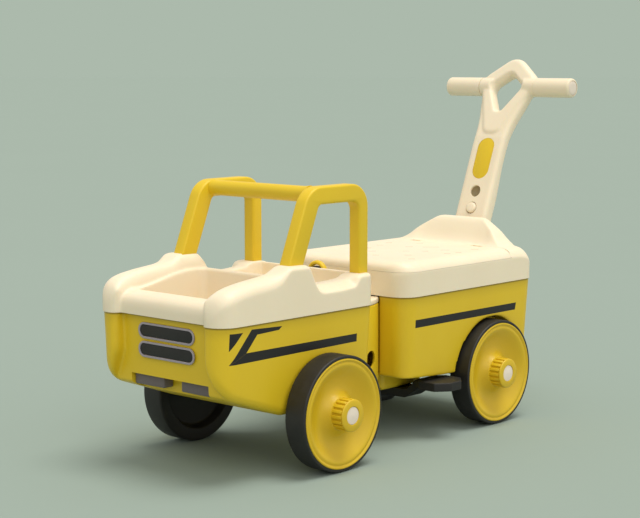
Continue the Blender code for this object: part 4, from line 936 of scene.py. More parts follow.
@dataclass
class Studio:
    """Pale sweep, soft lights and the camera that stands where the photograph's did."""

    front_y: float
    lens: float = 92.1918
    camera_at: Point = (1.59370, -1.63176, 0.55696)
    pitch: float = -6.971
    yaw: float = 42.205
    warmth: tuple[float, float, float] = (1.0, 0.96, 0.90)
    air_colour: Colour = (0.64, 0.612, 0.565, 1.0)
    backdrop: Colour = linear(172, 186, 172)
    floor_colour: Colour = (0.3037, 0.3773, 0.3405, 1.0)

    def camera(self) -> None:
        """Place the camera with the photograph's lens, place and tilt."""
        data = bpy.data.cameras.new("photo_camera")
        data.lens = self.lens
        data.sensor_width = 36.0
        data.clip_start, data.clip_end = 0.05, 50.0
        camera = bpy.data.objects.new("photo_camera", data)
        bpy.context.scene.collection.objects.link(camera)
        camera.location = (self.camera_at[0], self.camera_at[1] + self.front_y, self.camera_at[2])
        camera.rotation_euler = (math.pi / 2 + math.radians(self.pitch), 0.0, math.radians(self.yaw))
        bpy.context.scene.camera = camera

    def floor(self) -> None:
        """Pale matt floor that reaches to the horizon."""
        graph = Graph("pale_floor")
        cloud = graph.noise(1.3, 2.0, 0.5)
        shade = tuple(c * 0.985 for c in self.floor_colour[:3]) + (1.0,)
        graph.dress("Base Color", graph.blend(cloud, self.floor_colour, shade))
        graph.dress("Roughness", 1.0)
        graph.dress("Specular IOR Level", 0.0)
        bpy.ops.object.select_all(action="DESELECT")
        bpy.ops.mesh.primitive_plane_add(size=120.0, location=(0.0, 0.0, -0.0005))
        floor = bpy.context.active_object
        floor.name = "floor"
        floor.data.materials.append(graph.material)

    def light(self, name: str, source: Point, strength: float, softness: float) -> None:
        """Add a broad, even light.

        Args:
            name: Name of the light.
            source: Direction that it comes from.
            strength: Its strength in watts per square metre.
            softness: Width of the source in degrees.
        """
        data = bpy.data.lights.new(name, "SUN")
        data.energy = strength
        data.angle = math.radians(softness)
        data.color = self.warmth
        lamp = bpy.data.objects.new(name, data)
        bpy.context.scene.collection.objects.link(lamp)
        lamp.rotation_euler = Vector(source).to_track_quat("Z", "Y").to_euler()

    def air(self) -> None:
        """Even light from all round, and the plain backdrop that the camera sees."""
        world = bpy.data.worlds.new("studio_air")
        world.use_nodes = True
        tree = world.node_tree
        seen = tree.nodes.new("ShaderNodeLightPath")
        mix = tree.nodes.new("ShaderNodeMix")
        mix.data_type = "RGBA"
        tree.links.new(seen.outputs["Is Camera Ray"], mix.inputs[0])
        mix.inputs[6].default_value = self.air_colour
        mix.inputs[7].default_value = self.backdrop
        tree.links.new(mix.outputs[2], tree.nodes["Background"].inputs["Color"])
        bpy.context.scene.world = world

    def build(self) -> None:
        """Set up the whole studio."""
        bpy.context.scene.view_settings.view_transform = "Standard"
        self.camera()
        self.floor()
        self.light("overhead_key", (0.20, 0.12, 1.0), 1.85, 32.0)
        self.light("front_fill", (0.75, -0.75, 0.84), 0.50, 40.0)
        self.light("side_fill", (1.0, -0.10, 0.55), 0.30, 50.0)
        self.air()


@dataclass
class Wheels:
    """The four wheels: black wheel with its tread, yellow cover with the ribbed hub, pale cap.

    Each piece is modelled once, going out towards +X from the wheel's inner face at the origin.
    """

    bench: Workbench
    width: float = 0.0358
    tyre_r: float = 0.080
    cover_r: float = 0.0756
    hub_r: float = 0.0225
    hub_out: float = 0.0162
    cap_r: float = 0.0122
    web_out: float = 0.0160
    ribs: int = 18
    # Dish from its lip to the hub's foot, as (depth below the outer face, radius)
    dish_line: tuple[Flat, ...] = (
        (0.0012, 0.0756), (0.0003, 0.0752), (0.0, 0.0744), (0.0, 0.0736), (0.0006, 0.0727), (0.0014, 0.0718),
        (0.0018, 0.0709), (0.0015, 0.0699), (0.0010, 0.0687), (0.0009, 0.0673), (0.0014, 0.0656),
        (0.0026, 0.0634), (0.0046, 0.0606), (0.0072, 0.0572), (0.0100, 0.0535), (0.0124, 0.0496),
        (0.0142, 0.0456), (0.0153, 0.0420), (0.0157, 0.0388), (0.0154, 0.0356), (0.0143, 0.0326),
        (0.0125, 0.0300), (0.0104, 0.0278), (0.0082, 0.0260), (0.0060, 0.0246), (0.0042, 0.0236))
    # Hub from its knurl to its outer rim, as (depth below the hub's end, depth below its radius)
    hub_line: tuple[Flat, ...] = (
        (0.0044, 0.0022), (0.0036, 0.0021), (0.0028, 0.0016), (0.0022, 0.0006), (0.0018, 0.0002),
        (0.0012, 0.0003), (0.0005, 0.0008), (0.0, 0.0018))
    # Hole for the cap, as (depth below the hub's end, room round the cap)
    cap_line: tuple[Flat, ...] = ((0.0, 0.0008), (0.0003, 0.0004), (0.0008, 0.0003), (0.0050, 0.0003))

    centre: ClassVar[Point] = (0.0, 0.0, 0.0)

    def tyre(self) -> Shape:
        """Black wheel: tread with near-sharp shoulders, web and bearing boss inside.

        Returns:
            The wheel.
        """
        w = self.width
        profile = rounded([(0.0035, 0.0054, 0.0), (0.0035, 0.0130, 0.001), (0.0125, 0.0150, 0.002),
                           (0.0125, 0.0570, 0.004), (0.0, 0.0620, 0.002), (0.0, self.tyre_r, 0.0032),
                           (w - 0.0002, self.tyre_r, 0.0022), (w - 0.0008, self.cover_r + SEAM, 0.0),
                           (self.web_out, self.cover_r + SEAM, 0.0), (self.web_out, 0.0054, 0.0)], 5)
        return self.bench.turned("tyre", profile, self.centre, 128)

    def cover_profile(self) -> list[Flat]:
        """Profile of the yellow cover: rolled lip, dish, valley and hub foot, outside first.

        Returns:
            The profile, as (distance out, radius).
        """
        w, hub, back = self.width, self.width + self.hub_out, self.web_out + SEAM
        dish = [(w - down, radius) for down, radius in self.dish_line]
        foot = [(w - 0.0030, self.hub_r - self.hub_line[0][1])]
        foot += [(hub - down, self.hub_r - shrink) for down, shrink in self.hub_line]
        foot += [(hub - down, self.cap_r + room) for down, room in self.cap_line] + [(hub - 0.0050, 0.0055)]
        inner = [(back, 0.0055), (back, 0.0470), (w - 0.0065, 0.0645), (w - 0.0065, 0.0725), (back, 0.0725),
                 (back, self.cover_r)]
        return dish + foot + inner

    def rib(self) -> Shape:
        """One rib of the hub's knurl, a long rounded bar that starts inside the hub.

        Returns:
            The rib, above the axle.
        """
        half = math.pi * self.hub_r / self.ribs * 0.56
        out_low, out_high = self.width - 0.0042, self.width + self.hub_out - 0.0030
        low, high = self.hub_r - 0.0040, self.hub_r
        outline = rounded([(-half * 1.15, low, 0.0), (half * 1.15, low, 0.0), (half, high, 0.0009),
                           (-half, high, 0.0009)], 4)
        ends = ((out_low, 0.0), (out_high - 0.0012, 0.0), (out_high - 0.0003, 0.0005), (out_high, 0.0013))
        return self.bench.loft("rib", [[(out, across, max(low, up - sink)) for across, up in outline]
                                       for out, sink in ends])

    def cover(self) -> Shape:
        """Yellow cover with its ribbed hub.

        Returns:
            The cover.
        """
        shape = self.bench.turned("cover", self.cover_profile(), self.centre, 128)
        rib = self.rib()
        for index in range(self.ribs):
            turned = self.bench.copy(rib, turn=2 * math.pi * (index + 0.5) / self.ribs, axis=0)
            self.bench.carve(shape, turned, Join.ADD)
        self.bench.discard(rib)
        return shape

    def cap(self) -> Shape:
        """Pale end cap, slightly domed.

        Returns:
            The cap.
        """
        top = self.width + self.hub_out
        profile = rounded([(top - 0.0046, 0.0001, 0.0), (top - 0.0046, self.cap_r, 0.0),
                           (top - 0.0007, self.cap_r, 0.0007), (top - 0.0001, 0.0001, 0.0)], 5)
        shape = self.bench.turned("cap", profile, self.centre, 64)
        self.bench.apply(shape, "WELD", merge_threshold=0.00005)
        return shape

    def build(self, places: dict[str, Point]) -> None:
        """Model the three pieces and set a copy of each on every wheel.

        Args:
            places: Outer face's X on the left side, axle Y and axle Z, by the end of the truck.
        """
        bench, finish = self.bench, self.bench.finish
        tyre, cover, cap = self.tyre(), self.cover(), self.cap()
        for end, (outer_x, axle_y, axle_z) in places.items():
            for side in Side:
                tag = f"{end}_{side.word}"
                spot = (side.value * (outer_x - self.width), axle_y, axle_z)
                turn = 0.0 if side is Side.LEFT else math.pi
                for pattern, name, slot, material, node in (
                        (tyre, "tread", "black_tyre", finish.tread, "tyre"),
                        (cover, "dish", "yellow_plastic", finish.wheel, "wheel_cover"),
                        (cap, "cap", "white_plastic", finish.white, "hub_cap")):
                    bench.settle(bench.copy(pattern, spot, turn), f"{name}_{tag}", f"wheel_{tag}", slot,
                                 material, f"{node}_{tag}")
        bench.discard(tyre, cover, cap)


def mirror_ring(half: Sequence[Flat], y: float) -> list[Point]:
    """Ring across the truck from the points of its left half, bottom first."""
    return [(x, y, z) for x, z in half] + [(-x, y, z) for x, z in reversed(half)]


def stations(front: float, back: float, front_r: float, back_r: float, step: float) -> list[float]:
    """Places along the truck, dense where the plan's corners turn.

    Args:
        front: Front end.
        back: Rear end.
        front_r: Radius of the front corners.
        back_r: Radius of the rear corners.
        step: Spacing between the corners.

    Returns:
        The places in order.
    """
    eased = [1 - math.cos(math.pi / 2 * k / CORNER_STEPS) for k in range(CORNER_STEPS)]
    nose = [front + front_r * share for share in eased]
    tail = [back - back_r * share for share in eased]
    count = max(1, round((back - back_r - front - front_r) / step))
    return nose + spread(front + front_r, back - back_r, count) + tail[::-1]


@dataclass
class FrontUnit:
    """Cab unit: yellow tub, cream cover with its tray and trough, roll cage, grille and bumper blocks."""

    bench: Workbench
    front: float = -0.1965
    back: float = 0.106
    out_r: float = 0.028
    in_r: float = 0.012
    back_r: float = 0.020
    panel_y: float = -0.179
    lip_y: float = -0.185
    step_x: float = 0.085
    floor_z: float = 0.0822
    nose_z: float = 0.1248
    slope_y: float = -0.0720
    panel_low_z: float = 0.1325
    axle: Flat = (0.0, 0.080)
    housing_r: float = 0.0148
    crest: Line = Line((
        (-0.1965, 0.2265), (-0.1955, 0.2355), (-0.1930, 0.2440), (-0.1890, 0.2510), (-0.1830, 0.2565),
        (-0.1740, 0.2610), (-0.1600, 0.2648), (-0.1360, 0.2684), (-0.1000, 0.2720), (-0.0850, 0.2740),
        (-0.0760, 0.2785), (-0.0690, 0.2825), (-0.0640, 0.2835), (-0.0310, 0.2828), (-0.0255, 0.2765),
        (-0.0165, 0.2610), (-0.0100, 0.2540), (0.0000, 0.2520), (0.0350, 0.2522), (0.0610, 0.2540),
        (0.0690, 0.2580), (0.0760, 0.2600), (0.0990, 0.2600), (0.1040, 0.2580), (0.1060, 0.2530)), 0.004)
    side_drop: Line = Line((
        (-0.1965, 0.010), (-0.1860, 0.014), (-0.1760, 0.016), (-0.1000, 0.016), (-0.0850, 0.013),
        (-0.0690, 0.005), (-0.0320, 0.005), (-0.0220, 0.0095), (-0.0130, 0.0100), (0.0610, 0.0100),
        (0.0680, 0.0085), (0.0720, 0.004), (0.1060, 0.004)), 0.003)
    side_run: Line = Line((
        (-0.1965, 0.018), (-0.1000, 0.020), (-0.0690, 0.009), (-0.0320, 0.009), (-0.0220, 0.015),
        (-0.0130, 0.017), (0.0610, 0.017), (0.0690, 0.012), (0.0720, 0.007), (0.1060, 0.006)), 0.003)
    side_facet: Line = Line((
        (-0.1965, 0.0), (-0.0290, 0.0), (-0.0200, 1.0), (0.0640, 1.0), (0.0690, 0.0), (0.1060, 0.0)), 0.002)
    valley: Line = Line((
        (-0.1965, 0.2455), (-0.1600, 0.2455), (-0.1470, 0.2462), (-0.1300, 0.2490), (-0.1110, 0.2535),
        (-0.0860, 0.2590), (-0.0610, 0.2620), (-0.0240, 0.2620), (-0.0140, 0.2600), (0.0000, 0.2545),
        (0.0610, 0.2550), (0.0760, 0.2590), (0.1000, 0.2590), (0.1040, 0.2565), (0.1060, 0.2500)), 0.006)
    lip_run: Line = Line((
        (0.10, 0.0), (0.2270, 0.0), (0.2350, 0.0018), (0.2405, 0.0060), (0.2440, 0.0125), (0.2462, 0.0200),
        (0.2475, 0.0300), (0.30, 0.0300)), 0.003)
    panel_flare: Line = Line(((0.06, 0.0470), (0.1650, 0.0), (0.25, 0.0)), 0.012)
    valley_x: float = 0.084
    crest_in_x: float = 0.097
    basin_half: float = 0.081
    basin_y: Flat = (-0.161, -0.031)
    basin_floor: float = 0.152
    basin_rise: float = 0.148
    basin_corner: float = 0.011
    basin_narrow: float = 0.0040
    basin_widen: float = 0.0005
    trough_half: float = 0.0885
    trough_y: Flat = (-0.021, 0.094)
    trough_floor: float = 0.224
    trough_rise: float = 0.076
    trough_corner: float = 0.022
    trough_level: float = 0.036
    cover_skin: tuple[float, int] = (0.0016, 9)
    tub_skin: tuple[float, int] = (0.0017, 8)
    cage_x: float = 0.1034
    cage_w: float = 0.020
    cage_round: float = 0.0032
    cage_top: float = 0.3855
    cage_under: float = 0.3610
    leg_y: Flat = (-0.0600, -0.0304)
    leg_z: float = 0.2835
    leg_deep: float = 0.012
    leg_lean: float = 0.4
    post_y: Flat = (0.0822, 0.1014)
    post_z: float = 0.2470
    bar_at: Flat = (0.003, 0.374)
    bar_r: float = 0.0110
    slots: tuple[Flat, Flat] = ((0.1835, 0.2055), (0.1580, 0.1800))
    slot_half: float = 0.0545
    rim_width: float = 0.003
    step_y: float = -0.1497
    step_half: float = 0.0753
    block_x: float = 0.046
    block_low: Point = (-0.029, -0.168, 0.1165)
    block_high: Point = (0.029, -0.150, 0.1322)

    def cover_ring(self, y: float, inset: float, low: float, arcs: int = 8) -> list[Point]:
        """Section of the cover.

        Args:
            y: Place along the truck.
            inset: How far inside the outer skin.
            low: Height of its lower edge.
            arcs: Steps of each rounding.

        Returns:
            The ring.
        """
        width = plan_half(y, self.front + inset, self.back - inset, self.out_r - inset,
                          self.back_r - inset, HALF_WIDTH - inset)
        crest = self.crest.at(y) - inset
        valley = min(self.valley.at(y) - inset, crest - 0.0006)
        drop, run, facet = self.side_drop.at(y), self.side_run.at(y), self.side_facet.at(y)
        half = [(width, low)]
        for k in range(arcs):
            angle = math.pi / 2 * k / arcs
            across, up = math.cos(angle), math.sin(angle)
            share = k / arcs
            across += facet * (1.0 - share - across)
            up += facet * (share - up)
            half.append((width - run + run * across, crest - drop + drop * up))
        top_x = width - run
        half.append((top_x, crest))
        inner_x = max(min(top_x - 0.004, self.crest_in_x), self.valley_x + inset + 0.002)
        edge_x = self.valley_x + inset
        if inner_x > top_x - 0.001:
            inner_x = top_x - 0.001
            edge_x = inner_x - 0.002
        for k in range(arcs + 1):
            angle = math.pi / 2 * k / arcs
            half.append((inner_x - (inner_x - edge_x) * math.sin(angle),
                         valley + (crest - valley) * math.cos(angle)))
        return mirror_ring(half, y)

    def front_notch(self, name: str, low: float, high: float, back: Callable[[float], float],
                    half: Callable[[float], float]) -> Shape:
        """Space in front of the face between the two pontoons, rounded round their inner corners.

        Args:
            name: Name of the cutter.
            low: Where it starts.
            high: Where it ends.
            back: Place of the face at a height.
            half: Half width between the pontoons at a height.

        Returns:
            The cutter.
        """
        rings = []
        for z in spread(low, high, 60):
            side = [(half(z), back(z))]
            for k in range(9):
                angle = math.pi + math.pi / 2 * k / 8
                side.append((half(z) + self.in_r * (1 + math.cos(angle)),
                             self.front + self.in_r * (1 + math.sin(angle))))
            side.append((half(z) + self.in_r, self.front - 0.02))
            rings.append([(x, y, z) for x, y in side] + [(-x, y, z) for x, y in reversed(side)])
        return self.bench.loft(name, rings)

    def under_valley(self, y0: float, y1: float) -> list[Flat]:
        """Line just under the cover's inner top."""
        return [(y, self.valley.at(y) - 0.0015) for y in spread(y0, y1, 24)]

    def basin_cup(self, grow: float) -> Shape:
        """Outside of the tray's walls, grown by a wall's thickness.

        Args:
            grow: The wall's thickness.

        Returns:
            A closed block.
        """
        y0, y1 = self.basin_y
        line = self.under_valley(y0 - grow, y1 + grow)
        line += [(y1 + grow, self.basin_floor - grow), (y0 - grow, self.basin_floor - grow)]
        return self.bench.prism("basin_cup", line, -self.basin_half - grow, self.basin_half + grow)

    def cover(self) -> Shape:
        """Cream cover: pontoons, lip, tray, cab trough and the sockets of the cage.

        Returns:
            The cover.
        """
        bench = self.bench
        places = stations(self.front, self.back, self.out_r, self.back_r, 0.0025)
        under = self.basin_floor - 0.020
        shape = bench.loft("front_cover", [self.cover_ring(y, 0.0, under) for y in places])
        y0, y1 = self.basin_y
        rings = []
        for z, grow in ((self.basin_floor, -self.basin_narrow),
                        (self.basin_floor + self.basin_rise, self.basin_widen)):
            ring = oblong(self.basin_half + grow, y0 - grow, y1 + grow, self.basin_corner, 8)
            rings.append([(x, y, z) for x, y in ring])
        bench.combine(shape, bench.loft("basin", rings))
        ty0, ty1 = self.trough_y
        floor, corner = self.trough_floor, self.trough_corner
        mouth = floor + self.trough_rise
        outline = rounded([(ty0, mouth, 0.0), (ty1, mouth, 0.0), (ty1, floor, corner),
                           (ty0, floor, corner)], 8)
        trough = [[(sign * (self.trough_half + DRAFT * (z - floor - self.trough_level)), y, z)
                   for y, z in outline] for sign in (-1, 1)]
        bench.combine(shape, bench.loft("trough", trough))
        notch = self.front_notch("lip_notch", 0.12, 0.29, lambda z: self.lip_y + self.lip_run.at(z),
                                 lambda z: self.valley_x - 0.0005)
        bench.combine(shape, notch)
        bench.soften(shape, *self.cover_skin)
        self.hollow_cover(shape)
        for side in Side:
            for outline in (self.leg_foot(SEAM), self.post_foot(SEAM)):
                x, half = side.value * self.cage_x, self.cage_w / 2 + SEAM
                bench.carve(shape, bench.prism("socket", outline, x - half, x + half))
        return shape

    def hollow_cover(self, shape: Shape) -> None:
        """Take away all that lies under the cover's skin and outside the walls of the tray and trough.

        Args:
            shape: The cover, still solid.
        """
        bench = self.bench
        inner_y = spread(self.front + WALL, self.back - WALL, 40)
        inner = bench.loft("under_cover", [self.cover_ring(y, WALL, 0.19, 3) for y in inner_y])
        behind = [(-FAR, 0.0), (self.lip_y + WALL, 0.0), (self.lip_y + WALL, 0.2270),
                  (self.lip_y + 0.0085, 0.2360), (self.lip_y + 0.0150, 0.2400), (self.lip_y + 0.0260, 0.2415),
                  (self.lip_y + 0.0260, FAR), (-FAR, FAR)]
        half = self.step_x + WALL
        bench.combine(inner, bench.prism("lip_wall", behind, -half, half))
        thick = WALL - 0.0004
        ty0, ty1 = self.trough_y
        rim = [(y, z, 0.0) for y, z in self.under_valley(ty0 - thick, ty1 + thick)]
        low = self.trough_floor - thick
        corner = self.trough_corner
        shell = rounded(rim + [(ty1 + thick, low, corner), (ty0 - thick, low, corner)], 6)
        bench.combine(inner, bench.prism("trough_wall", shell, -self.trough_half - thick,
                                         self.trough_half + thick))
        slab = bench.box("below_split", (-0.2, -0.3, 0.05), (0.2, 0.2, SPLIT_Z + SEAM))
        bench.combine(slab, inner, Join.ADD)
        bench.combine(slab, self.basin_cup(thick))
        bench.carve(shape, slab)

    def leg_at(self, edge: int, z: float) -> float:
        """Y of the leaning front leg's front or rear edge at a height."""
        return self.leg_y[edge] + self.leg_lean * (z - self.leg_z)

    def leg_foot(self, gap: float) -> list[Flat]:
        """Outline of the front leg's foot in the cover.

        Args:
            gap: Room round the foot.

        Returns:
            The outline, as (Y, Z).
        """
        low, high = self.leg_z - self.leg_deep - gap, self.leg_z + 0.020
        return [(self.leg_at(0, low) - gap, low), (self.leg_at(1, low) + gap, low),
                (self.leg_at(1, high) + gap, high), (self.leg_at(0, high) - gap, high)]

    def post_foot(self, gap: float) -> list[Flat]:
        """Outline of the rear post's foot in the cover.

        Args:
            gap: Room round the foot.

        Returns:
            The outline, as (Y, Z).
        """
        (front, back), low = self.post_y, self.post_z - gap
        high = low + gap + 0.033
        return [(front - gap, low), (back + gap, low), (back + gap, high), (front - gap, high)]

    def cage(self) -> Shape:
        """Bent side frame with rounded edges, in the middle of the truck.

        Returns:
            The frame.
        """
        top, under, foot = self.cage_top, self.cage_under, self.leg_z - self.leg_deep
        front, back = self.post_y
        outline = rounded([(self.leg_at(0, foot), foot, 0.0), (self.leg_at(0, top), top, 0.036),
                           (back, top, 0.033), (back, self.post_z, 0.0), (front, self.post_z, 0.0),
                           (front, under, 0.013), (self.leg_at(1, under), under, 0.009),
                           (self.leg_at(1, foot), foot, 0.0)], 10)
        shape = self.bench.prism("cage", outline, -self.cage_w / 2, self.cage_w / 2)
        self.bench.round_edges(shape, self.cage_round, 5, 60.0)
        return shape

    def cross_bar(self) -> Shape:
        """Round bar between the two frames, flaring a little where it meets them.

        Returns:
            The bar.
        """
        end = self.cage_x - self.cage_w / 2 - SEAM
        radii = Line(((0.0, self.bar_r), (end - 0.010, self.bar_r), (end - 0.003, self.bar_r + 0.0006),
                      (end, self.bar_r + 0.0012)), 0.002)
        y, z = self.bar_at
        rings = [[(x, y + across, z + up) for across, up in circle(radii.at(abs(x)), 64)]
                 for x in spread(-end, end, 60)]
        return self.bench.loft("cross_bar", rings)

    def belly(self, y: float) -> float:
        """Height of the sloping belly at a place."""
        slope = (self.floor_z - self.nose_z) / (self.slope_y - self.front)
        return self.nose_z + slope * (y - self.front)

    def tub_ring(self, y: float, low: float) -> list[Point]:
        """Section of the tub, narrowing downwards, with round lower edges.

        Args:
            y: Place along the truck.
            low: Height of its lower edge.

        Returns:
            The ring.
        """
        top = SPLIT_Z + 0.012
        width = plan_half(y, self.front + REVEAL, self.back, self.out_r, self.back_r, HALF_WIDTH - REVEAL)
        r = min(0.010, (SPLIT_Z - low) * 0.3)
        foot = width - DRAFT * (SPLIT_Z - low)
        half = [(width + DRAFT * 0.012, top), (foot + DRAFT * r, low + r)]
        half += [(foot - r + r * math.cos(math.pi / 12 * k), low + r - r * math.sin(math.pi / 12 * k))
                 for k in range(1, 6)]
        return mirror_ring(half + [(foot - r, low)], y)

    def tub(self) -> Shape:
        """Yellow tub with the recessed panel, hollow, open at the top.

        Returns:
            The tub.
        """
        bench = self.bench
        side = rounded([(self.front + REVEAL, SPLIT_Z, 0.0), (self.front + 0.0029, self.nose_z, 0.050),
                        (self.slope_y, self.floor_z, 0.02), (self.back, self.floor_z, 0.0),
                        (self.back, SPLIT_Z, 0.0)], 24)[1:-2]
        lows = Line(tuple((y + k * 1e-6, z) for k, (y, z) in enumerate(side)), 0.0)
        first = [(self.front + REVEAL + 0.00001, side[0][1])]
        arc = [(y, z) for y, z in side if self.front + REVEAL + 0.0001 < y < self.slope_y]
        level = stations(self.slope_y + 0.001, self.back, 0.0, self.back_r, 0.006)[CORNER_STEPS:]
        rest = [(y, lows.at(y)) for y in level]
        shape = bench.loft("front_tub", [self.tub_ring(y, low) for y, low in first + arc + rest])
        notch = self.front_notch("panel_recess", self.panel_low_z - 0.022, SPLIT_Z + 0.02,
                                 lambda z: self.panel_y + DRAFT * (SPLIT_Z - z),
                                 lambda z: self.step_x + self.panel_flare.at(z))
        bench.combine(shape, notch)
        bench.soften(shape, *self.tub_skin)
        bench.carve(shape, bench.box("above_split", (-0.2, -0.3, SPLIT_Z), (0.2, 0.2, 0.25)))
        bench.carve(shape, self.tub_hollow())
        groove = bench.cross_rod("axle_groove", -FAR, FAR, self.axle, self.housing_r)
        bench.carve(shape, groove)
        step = bench.box("bumper_step", (-self.step_half, -FAR, 0.0),
                         (self.step_half, self.step_y, self.panel_low_z))
        bench.carve(shape, step)
        for low, high in self.slots:
            cutter = self.slot_block("pocket", low - SEAM, high + SEAM, self.slot_half + SEAM,
                                     self.panel_y - 0.01, self.panel_y + 0.0019)
            bench.carve(shape, cutter)
        return shape

    def tub_hollow(self) -> Shape:
        """Space inside the tub, clear of the axle groove and of the bumper step.

        Returns:
            The space, as a closed shape.
        """
        bench = self.bench
        rings = []
        for z in (0.060, SPLIT_Z + 0.01):
            d = DRAFT * (SPLIT_Z - z)
            half, front, back = HALF_WIDTH - WALL - REVEAL - d, self.panel_y + WALL + d, self.back - WALL - d
            rings.append([(x, y, z) for x, y in oblong(half, front, back, 0.016, 6)])
        hollow = bench.loft("tub_hollow", rings)
        step_y = self.step_y + WALL
        floor = [(-FAR, self.panel_low_z + WALL), (step_y, self.panel_low_z + WALL),
                 (step_y, self.belly(step_y) + WALL + 0.001), (self.slope_y, self.floor_z + WALL),
                 (FAR, self.floor_z + WALL), (FAR, FAR), (-FAR, FAR)]
        bench.combine(hollow, bench.prism("hollow_floor", floor, -FAR, FAR), Join.KEEP)
        bench.combine(hollow, bench.cross_rod("axle_hump", -FAR, FAR, self.axle, self.housing_r + WALL))
        return hollow

    def slot_block(self, name: str, low: float, high: float, half: float, y0: float,
                   y1: float) -> Shape:
        """Stadium-shaped block across the panel."""
        outline = oblong(half, low, high, (high - low) / 2 - 0.0001, 12)
        return self.bench.prism(name, outline, y0, y1, "y")

    def trim(self) -> None:
        """Grille slots with their pale rims, and the two bumper blocks."""
        bench, finish = self.bench, self.bench.finish
        (low, high), (next_low, _) = self.slots
        half, wide, face = self.slot_half, self.rim_width, self.panel_y
        rim = self.slot_block("rim", low, high, half, face - 0.0008, face + 0.0016)
        hole = self.slot_block("hole", low + wide, high - wide, half - wide, face - 0.02, face + 0.02)
        bench.combine(rim, hole)
        bench.round_edges(rim, 0.0007, 3)
        wide += SEAM
        lens = self.slot_block("lens", low + wide, high - wide, half - wide, face - 0.0001, face + 0.0016)
        bench.round_edges(lens, 0.0006, 3)
        for word, drop in (("upper", 0.0), ("lower", next_low - low)):
            shift = (0.0, 0.0, drop)
            bench.settle(bench.copy(rim, shift), f"grille_rim_{word}", "front_unit", "pale_trim", finish.rim,
                         f"bezel_{word}")
            bench.settle(bench.copy(lens, shift), f"grille_slot_{word}", "front_unit", "black_plastic",
                         finish.black, f"grille_{word}")
        block = bench.box("block", self.block_low, self.block_high)
        bench.round_edges(block, 0.0022, 4)
        for side in Side:
            bench.settle(bench.copy(block, (side.value * self.block_x, 0.0, 0.0)), f"bumper_{side.word}",
                         "front_unit", "grey_plastic", finish.grey, f"bumper_block_{side.word}")
        bench.discard(rim, lens, block)

    def build(self) -> None:
        """Model the front unit."""
        bench, finish = self.bench, self.bench.finish
        bench.settle(self.cover(), "cream_front_cover", "front_unit", "cream_plastic", finish.cream,
                     "front_cover")
        bench.settle(self.tub(), "yellow_front_tub", "front_unit", "yellow_plastic", finish.front_side,
                     "front_tub")
        cage = self.cage()
        for side in Side:
            frame_side = bench.copy(cage, (side.value * self.cage_x, 0.0, 0.0))
            bench.settle(frame_side, f"roll_frame_{side.word}", "front_unit", "yellow_plastic", finish.yellow,
                         f"cage_{side.word}")
        bench.discard(cage)
        bench.settle(self.cross_bar(), "roll_bar", "front_unit", "yellow_plastic", finish.yellow, "cross_bar")
        self.trim()


